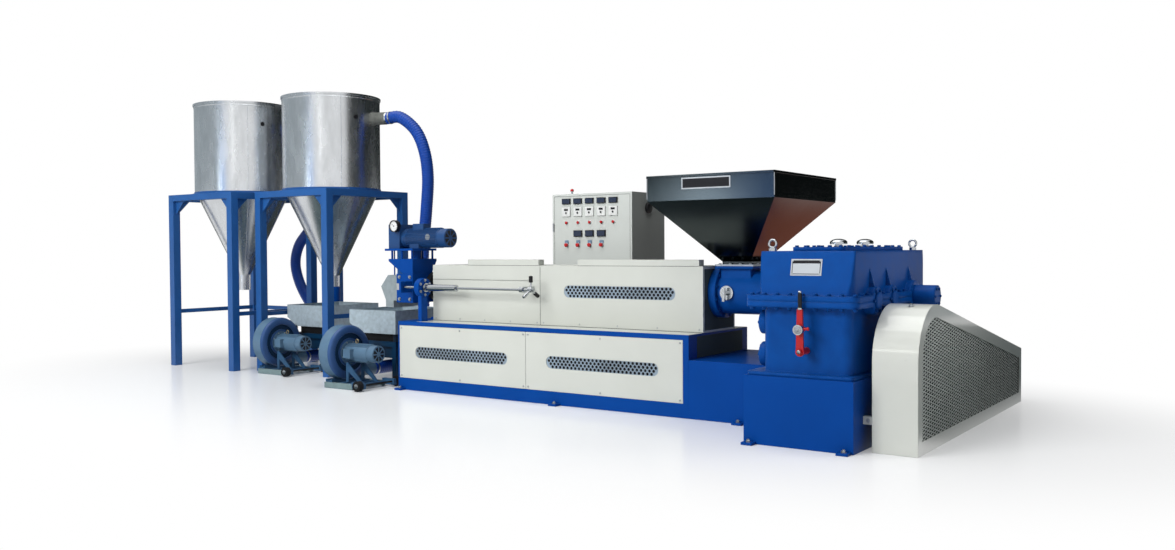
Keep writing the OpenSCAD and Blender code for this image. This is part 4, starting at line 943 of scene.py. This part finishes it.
def make_spindle():
    def on_axis(x):
        return (x, SPINDLE_Y, AXIS_Z)

    body = "spindle_body"
    black, bright, nut, sleeve, hub = shapes(5)
    for angle, shape, radius, start in ((0, black, 20, 72), (120, bright, 17, 48), (240, black, 20, 72)):
        a = radians(angle)
        profile = [(10, start), (radius, start + 4), (radius, 132), (radius - 5, 139)]
        shape.lathe(on_axis(-36), (0, -sin(a), cos(a)), profile, 24)
    black.make("star_black_grips", BLACK, body=body, replaces=["spindle_knobs"])
    bright.make("star_bright_grip", CHROME, body=body)
    nut.lathe(on_axis(-12), X, [(18, 0), (18, 12), (14, 15)], 6)
    nut.make("star_hub_nut", STEEL, body=body)
    sleeve.band(on_axis(-1478), X, 34.3, 36.5, 448)
    sleeve.band(on_axis(-1480), X, 36.5, 48, 20)
    sleeve.band(on_axis(-1030), X, 18, 36.5, 4)
    sleeve.band(on_axis(-171.5), X, 18, 30, 43)
    sleeve.box((-171, SPINDLE_Y + 26, AXIS_Z - 29), (-129, -COVER_Y - 0.5, AXIS_Z + 29))
    sleeve.make("spindle_sleeve", CHROME)
    for s, c in circle(6):
        hub.bolt((-1480, SPINDLE_Y + 78 * s, AXIS_Z + 78 * c), X, 14)
    hub.make("spindle_housing_bolts", STEEL)


# Control cabinet

def make_cabinet():
    first, pitch, face, half_case = CABINET_X[0] + 196, 155, CABINET_Y, 54
    columns = [first + pitch * i for i in range(5)]
    bezels, windows, cases, displays = shapes(4)
    meters = [(x, CABINET_TOP - 82, 31) for x in columns]
    meters += [(x, CABINET_TOP - 437, 35) for x in columns[1:4]]
    for x, z, half in meters:
        bezels.tile(x, z, half_case, half, face - 20, face)
        windows.tile(x, z, half_case - 6, half * 0.78, face - 22, face - 19)
    for x in columns:
        z = CABINET_TOP - 197
        cases.tile(x, z, half_case, 50, face - 16, face)
        displays.tile(x, z + 23, 26, 11, face - 18, face - 15)
        displays.bar((x, face - 15, z - 12), (x, face - 20, z - 12), 11, 20)
    bezels.make("meter_cases", BLACK, replaces=["panel_instruments"], bevel=2)
    windows.make("meter_dials", METER)
    cases.make("controller_cases", WHITE, bevel=3)
    displays.make("controller_displays", BLACK)

    lenses, rims, plates, buzzer = shapes(4)
    for x in columns:
        z = CABINET_TOP - 316
        rims.lathe((x, face, z), -Y, [(20, 0), (20, 6), (17, 8)], 28)
        lenses.lathe((x, face, z), -Y, [(16, 8), (16, 18), (11, 24), (4, 26)], 28)
    for x in columns[:4]:
        z = CABINET_TOP - 544
        plates.tile(x, z + 16, 26, 18, face - 8, face)
        rims.lathe((x, face, z - 18), -Y, [(25, 0), (25, 7), (22, 9)], 28)
        lenses.lathe((x, face, z - 18), -Y, [(20, 9), (20, 30), (15, 34)], 28)
    beacon = (CABINET_X[0] + 190, face + 110, CABINET_TOP)
    rims.lathe(beacon, Z, [(19, 0), (19, 6), (11, 7), (11, 32), (19, 33), (19, 36)], 24)
    lenses.lathe(beacon, Z, [(19.5, 36), (19.5, 52), (14, 60), (5, 64)], 24)
    lenses.make("lamp_lenses", RED_LENS, replaces=["panel_switches"])
    rims.make("lamp_rims", CHROME)
    plates.make("switch_plates", BLUE_GREY, bevel=2)
    buzzer_spot = (CABINET_X[1], face + 320, CABINET_TOP - 165)
    buzzer.lathe(buzzer_spot, X, [(60, 0), (60, 18), (52, 28), (30, 32)], 36)
    buzzer.make("side_buzzer", BLACK)

    seams, fittings = shapes(2)
    x0, x1 = CABINET_X[0] + 25, CABINET_X[1] - 25
    z0, z1 = 125, CABINET_TOP - 25
    for z in (z0, z1):
        seams.box((x0, face - 0.8, z - 2), (x1, face, z + 2))
    for x in (x0, x1):
        seams.box((x - 2, face - 0.8, z0), (x + 2, face, z1))
    seams.make("cabinet_door_seam", SEAM_AND_SHADOW)
    hinge_x = CABINET_X[0] + 14
    for z in (350, 1000, 1750):
        fittings.bar((hinge_x, face - 7, z - 45), (hinge_x, face - 7, z + 45), 8, 16)
    fittings.box((CABINET_X[1] - 70, face - 16, 1090), (CABINET_X[1] - 45, face, 1230))
    fittings.lathe((CABINET_X[1] - 57, face - 16, 1200), -Y, [(9, 0), (9, 5), (6, 7)], 20)
    fittings.make("cabinet_hinges_and_lock", STEEL, bevel=1)


# Motors

def add_fins(shape, start, end, middle, r, rise, count, skip):
    """Straight cooling fins along a motor's body, which lies along X."""
    half = 2.2
    for s, c in circle(count):
        if skip(s, c):
            continue
        out, side = Vector((0, c, s)), Vector((0, -s, c))
        points = []
        for x in (start, end):
            for wide, high in ((-1, -2), (1, -2), (0.7, rise), (-0.7, rise)):
                points.append(Vector((x, *middle)) + out * (r + high) + side * (wide * half))
        shape.add(points, PRISM)


def add_cowl_face(holes, x, y, z, r):
    """Black plates as air slots on a fan cowl's end, in a ring round the middle; their black stands in for
    the shade inside the cowl: painted shade.
    """
    count = 8
    half = pi / count * 0.68
    inner, outer = 0.30 * r, 0.84 * r
    for k in range(count):
        a = 2 * pi * (k + 0.5) / count
        corners = ((a - half * 0.7, inner), (a + half * 0.7, inner), (a + half, outer), (a - half, outer))
        points = []
        for depth in (0.8, -1.2):
            points += [(x + depth, y + q * sin(b), z + q * cos(b)) for b, q in corners]
        holes.add(points, PRISM)


def make_motors():
    fins, fan_fins, holes, bright, eyes = shapes(5)
    # Cutter motor
    y, z = -170, 1637
    add_fins(fins, -1990, -1530, (y, z), 108, 9, 40, lambda s, c: s < -0.62)
    add_cowl_face(holes, -1398, y, z, 104)
    bright.lathe((-1640, y - 108, z + 12), -Y, [(34, -6), (34, 3)], 32)
    # Blower motors
    for x, y in BLOWERS.values():
        start = x + 12
        add_fins(fan_fins, start + 40, start + 360, (y, FAN_Z), 98, 8, 36, lambda s, c: c < -0.75)
        add_cowl_face(holes, start + 470, y, FAN_Z, 93)
        eyes.ring((start + 130, y, FAN_Z + 98 + 30), Y, 21, 6.5, 28, 10)
        eyes.bar((start + 130, y, FAN_Z + 96), (start + 130, y, FAN_Z + 108), 14, 16)
        for s, c in circle(8, 0.5):
            bright.bolt((start + 18, y + 117 * s, FAN_Z + 117 * c), X, 10, washer=False)
    # Main motor
    end = GUARD_X[0] - 60
    add_fins(fins, end - 820, end - 75, (MOTOR_Y, MOTOR_Z), 235, 16, 56, lambda s, c: s < -0.3 or s > 0.75)
    eye_x = end - 300
    bright.ring((eye_x, MOTOR_Y, MOTOR_Z + 235 + 40), Y, 28, 8, 28, 8)
    bright.bar((eye_x, MOTOR_Y, MOTOR_Z + 233), (eye_x, MOTOR_Y, MOTOR_Z + 250), 20, 20)
    fins.make("motor_fins", MOTOR_BLUE)
    fan_fins.make("blower_motor_fins", FAN_BLUE)
    eyes.make("motor_eye_bolts", BRASS)
    holes.make("fan_cowl_slot_shade", BLACK)
    bright.make("motor_bright_parts", STEEL)


# Pressure gauge and cutter head

def make_cutter_head():
    dial, marks, bezel, bolts = shapes(4)
    gauge_x, front, gauge_z = -2080, -355, 1775

    def on_dial(angle, r, proud):
        a = radians(angle)
        return (gauge_x + r * sin(a), front - proud, gauge_z + r * cos(a))

    dial.lathe(on_dial(0, 0, 0), -Y, [(56, 0), (56, 1)], 40)
    dial.make("gauge_dial", WHITE)
    for k in range(11):
        for r in range(40, 49, 2):
            marks.lathe(on_dial(-135 + 27 * k, r, 1), -Y, [(1.4, 0), (1.4, 0.4)], 6)
    marks.bar(on_dial(0, 0, 3), on_dial(-50, 36, 3), 1.6, 8)
    marks.lathe(on_dial(0, 0, 1), -Y, [(5, 0), (5, 4)], 16)
    marks.make("gauge_marks", BLACK)
    bezel.band(on_dial(0, 0, -42), -Y, 57, 66.5, 50)
    bezel.make("gauge_bezel", BLACK)

    for z in (AXIS_Z - 140, AXIS_Z + 105):
        for x in (CHANGER_X[0] + 45, CHANGER_X[1] - 45):
            for side in (-1, 1):
                bolts.bolt((x, side * 360, z), Y * side, 18)
    for y in (-220, 220):
        for z in (AXIS_Z - 60, AXIS_Z + 60):
            bolts.bolt((CHANGER_X[0] - 2, y, z), -X, 14)
    bolts.make("changer_bolts", STEEL)


# Blowers, sieves, silos and hopper

def make_blowers():
    rim, face, disc, runners = shapes(4)
    face_ring = [(298, -4), (301.5, -3), (300, 14), (292, 28), (278, 36), (236, 39), (222, 36), (216, 30),
                 (216, 12.2)]
    for x, y in BLOWERS.values():
        rim.ring((x - 137, y, FAN_Z), X, 297, 6, 72, 8)
        rim.band((x - 4, y, FAN_Z), X, 299, 302.5, 7, 96)
        face.lathe((x, y, FAN_Z), X, face_ring, 96, closed=True)
        face.band((x + 12.2, y, FAN_Z), X, 128, 158, 12, 56)
        # A dark disc inside the face ring stands in for the shade in the face's sunk middle: painted shade
        disc.band((x + 12.2, y, FAN_Z), X, 158, 216, 1.5, 96)
        for side in (-1, 1):
            rail_y = y + side * 223
            runners.box((x - 121, rail_y - 21, 1), (x + 321, rail_y + 21, 61))
    rim.make("blower_rims", FAN_BLUE, bevel=3)
    face.make("blower_face_rings", SHADED_FACE_BLUE)
    disc.make("blower_recess_shade", RECESS_SHADE_BLUE)
    runners.make("blower_runners", RUNNER_GREY, bevel=3)
    for name, (x, y) in BLOWERS.items():
        hub = Shape()
        for side in (-1, 1):
            place = (x + 470, y + side * 319, 58)
            hub.lathe(place, Y * side, [(26, -4), (26, 2), (22, 4), (9, 5), (9, 9), (4, 10)], 28)
        hub.make(f"wheel_hubs_{name}", STEEL, body=f"wheels_{name}_body", slot="dark_steel")


def make_sieves():
    springs, rims, tray_shade = shapes(3)
    for x, y in SIEVES.values():
        # Dark sheets under each tray stand in for the shade beneath it: painted shade
        tray_shade.box((x + 190, y + 60, 455), (x + 660, y + 64, 549))
        tray_shade.box((x + 696, y + 100, 455), (x + 700, y + 760, 549))
        for spring_x, spring_y in ((70, 70), (690, 70), (70, 790), (690, 790)):
            for k in range(5):
                springs.ring((x + spring_x, y + spring_y, 470 + 16 * k), Z, 28, 4.5, 24, 8)
        rims.border((x, y, 812), (x + 760, y + 860, 819), 12)
    springs.make("sieve_springs", DARK)
    tray_shade.make("sieve_under_shade", RUBBER_AND_SHADE)
    rims.make("sieve_rims", GALVANISED, bevel=1)


def make_silos():
    seams, clips, dots, bands, cuffs = shapes(5)
    pipe_r = 79
    for x, y, angle in SILOS.values():
        foot, seat, level = Vector((x, y, 0)), Vector((x, y, STAND_TOP)), Vector((x, y, INLET_Z))
        for z in (STAND_TOP + 30, DRUM_TOP - 26):
            seams.ring((x, y, z), Z, DRUM_R, 4, 96, 8)
        seams.ring((x, y, 1195), Z, pipe_r, 4, 40, 8)
        for seam_angle in (150, 330):
            out = outward(seam_angle)
            low = seat + out * DRUM_R + Z * 8
            seams.bar(low, low + Z * (DRUM_TOP - STAND_TOP - 16), 2.5, 8)
            seams.bar(foot + out * pipe_r + Z * 1190, foot + out * 578 + Z * (STAND_TOP - 4), 2.5, 8)
        for k in range(8):
            clips.bolt(seat + outward(45 * k + 22.5) * 618, Z, 18)
        # Ring angle that the drum sits in
        clips.band(seat, Z, DRUM_R, DRUM_R + 6, 34, 96)
        clips.band(seat, Z, DRUM_R + 6, DRUM_R + 46, 7, 96)
        out = outward(-12)
        dots.lathe(level + out * (DRUM_R - 1), out, [(28, 0), (28, 4)], 28)
        out = outward(angle)
        bands.ring(level + out * (DRUM_R + 1), out, 77, 5, 40, 8)
        cuffs.lathe(level + out * (DRUM_R - 6), out, [(90, 0), (86, 20), (77, 60), (77, 196)], 40)
        bands.ring((x, y, DRUM_TOP + 78), Z, 102.5, 4, 48, 8)
    seams.make("silo_seams", SILO)
    clips.make("silo_seat_rings", STAND_SHEEN_BLUE)
    dots.make("silo_sight_plugs", BLACK)
    bands.make("silo_collars", SILO)
    cuffs.make("silo_inlet_cuffs", CUFF)


def make_hopper():
    rim, flange, plate, field, corners = shapes(5)
    x, top = 2047, 2150
    half_x, half_y = 615, 670
    rim.border((x - half_x - 6, -half_y - 6, top - 22), (x + half_x + 6, half_y + 6, top), 12)
    rim.make("hopper_rim", MIRROR, bevel=3)
    half, low, high = 190, PAD_TOP, PAD_TOP + 15
    for side in (-1, 1):
        edge, out = side * half, side * (half + 2)
        flange.box((x - half - 2, edge, low), (x + half + 2, out, high))
        flange.box((x + edge, -half, low), (x + out, half, high))
        for k in range(4):
            along = -150 + 100 * k
            flange.bolt((x + along, side * 165, high), Z, 14)
            if k in (1, 2):
                flange.bolt((x + side * 165, along, high), Z, 14)
    flange.make("hopper_flange_edge", STEEL)
    plate.box((1786, -673, 2022), (2260, -670, 2122))
    plate.make("hopper_plate", PLATE)
    field.box((1797, -674, 2033), (2249, -671, 2111))
    field.make("hopper_plate_field", BLACK)
    # Lighter steel bars along the hopper's upright corners show as bright edge lines: painted highlight
    for edge_x in (x - half_x, x + half_x):
        for edge_y in (-half_y, half_y):
            corners.bar((edge_x, edge_y, 1944), (edge_x, edge_y, top - 4), 5, 12)
    corners.make("hopper_corner_highlights", STEEL)


dress_nodes()
set_camera()
set_world()
set_floor()
set_lights()
for hose_name, hose_points in hose_routes().items():
    make_hose(hose_name, hose_points)
make_covers()
make_fasteners()
make_gearbox()
make_guard()
make_lever()
make_spindle()
make_cabinet()
make_motors()
make_cutter_head()
make_blowers()
make_sieves()
make_silos()
make_hopper()
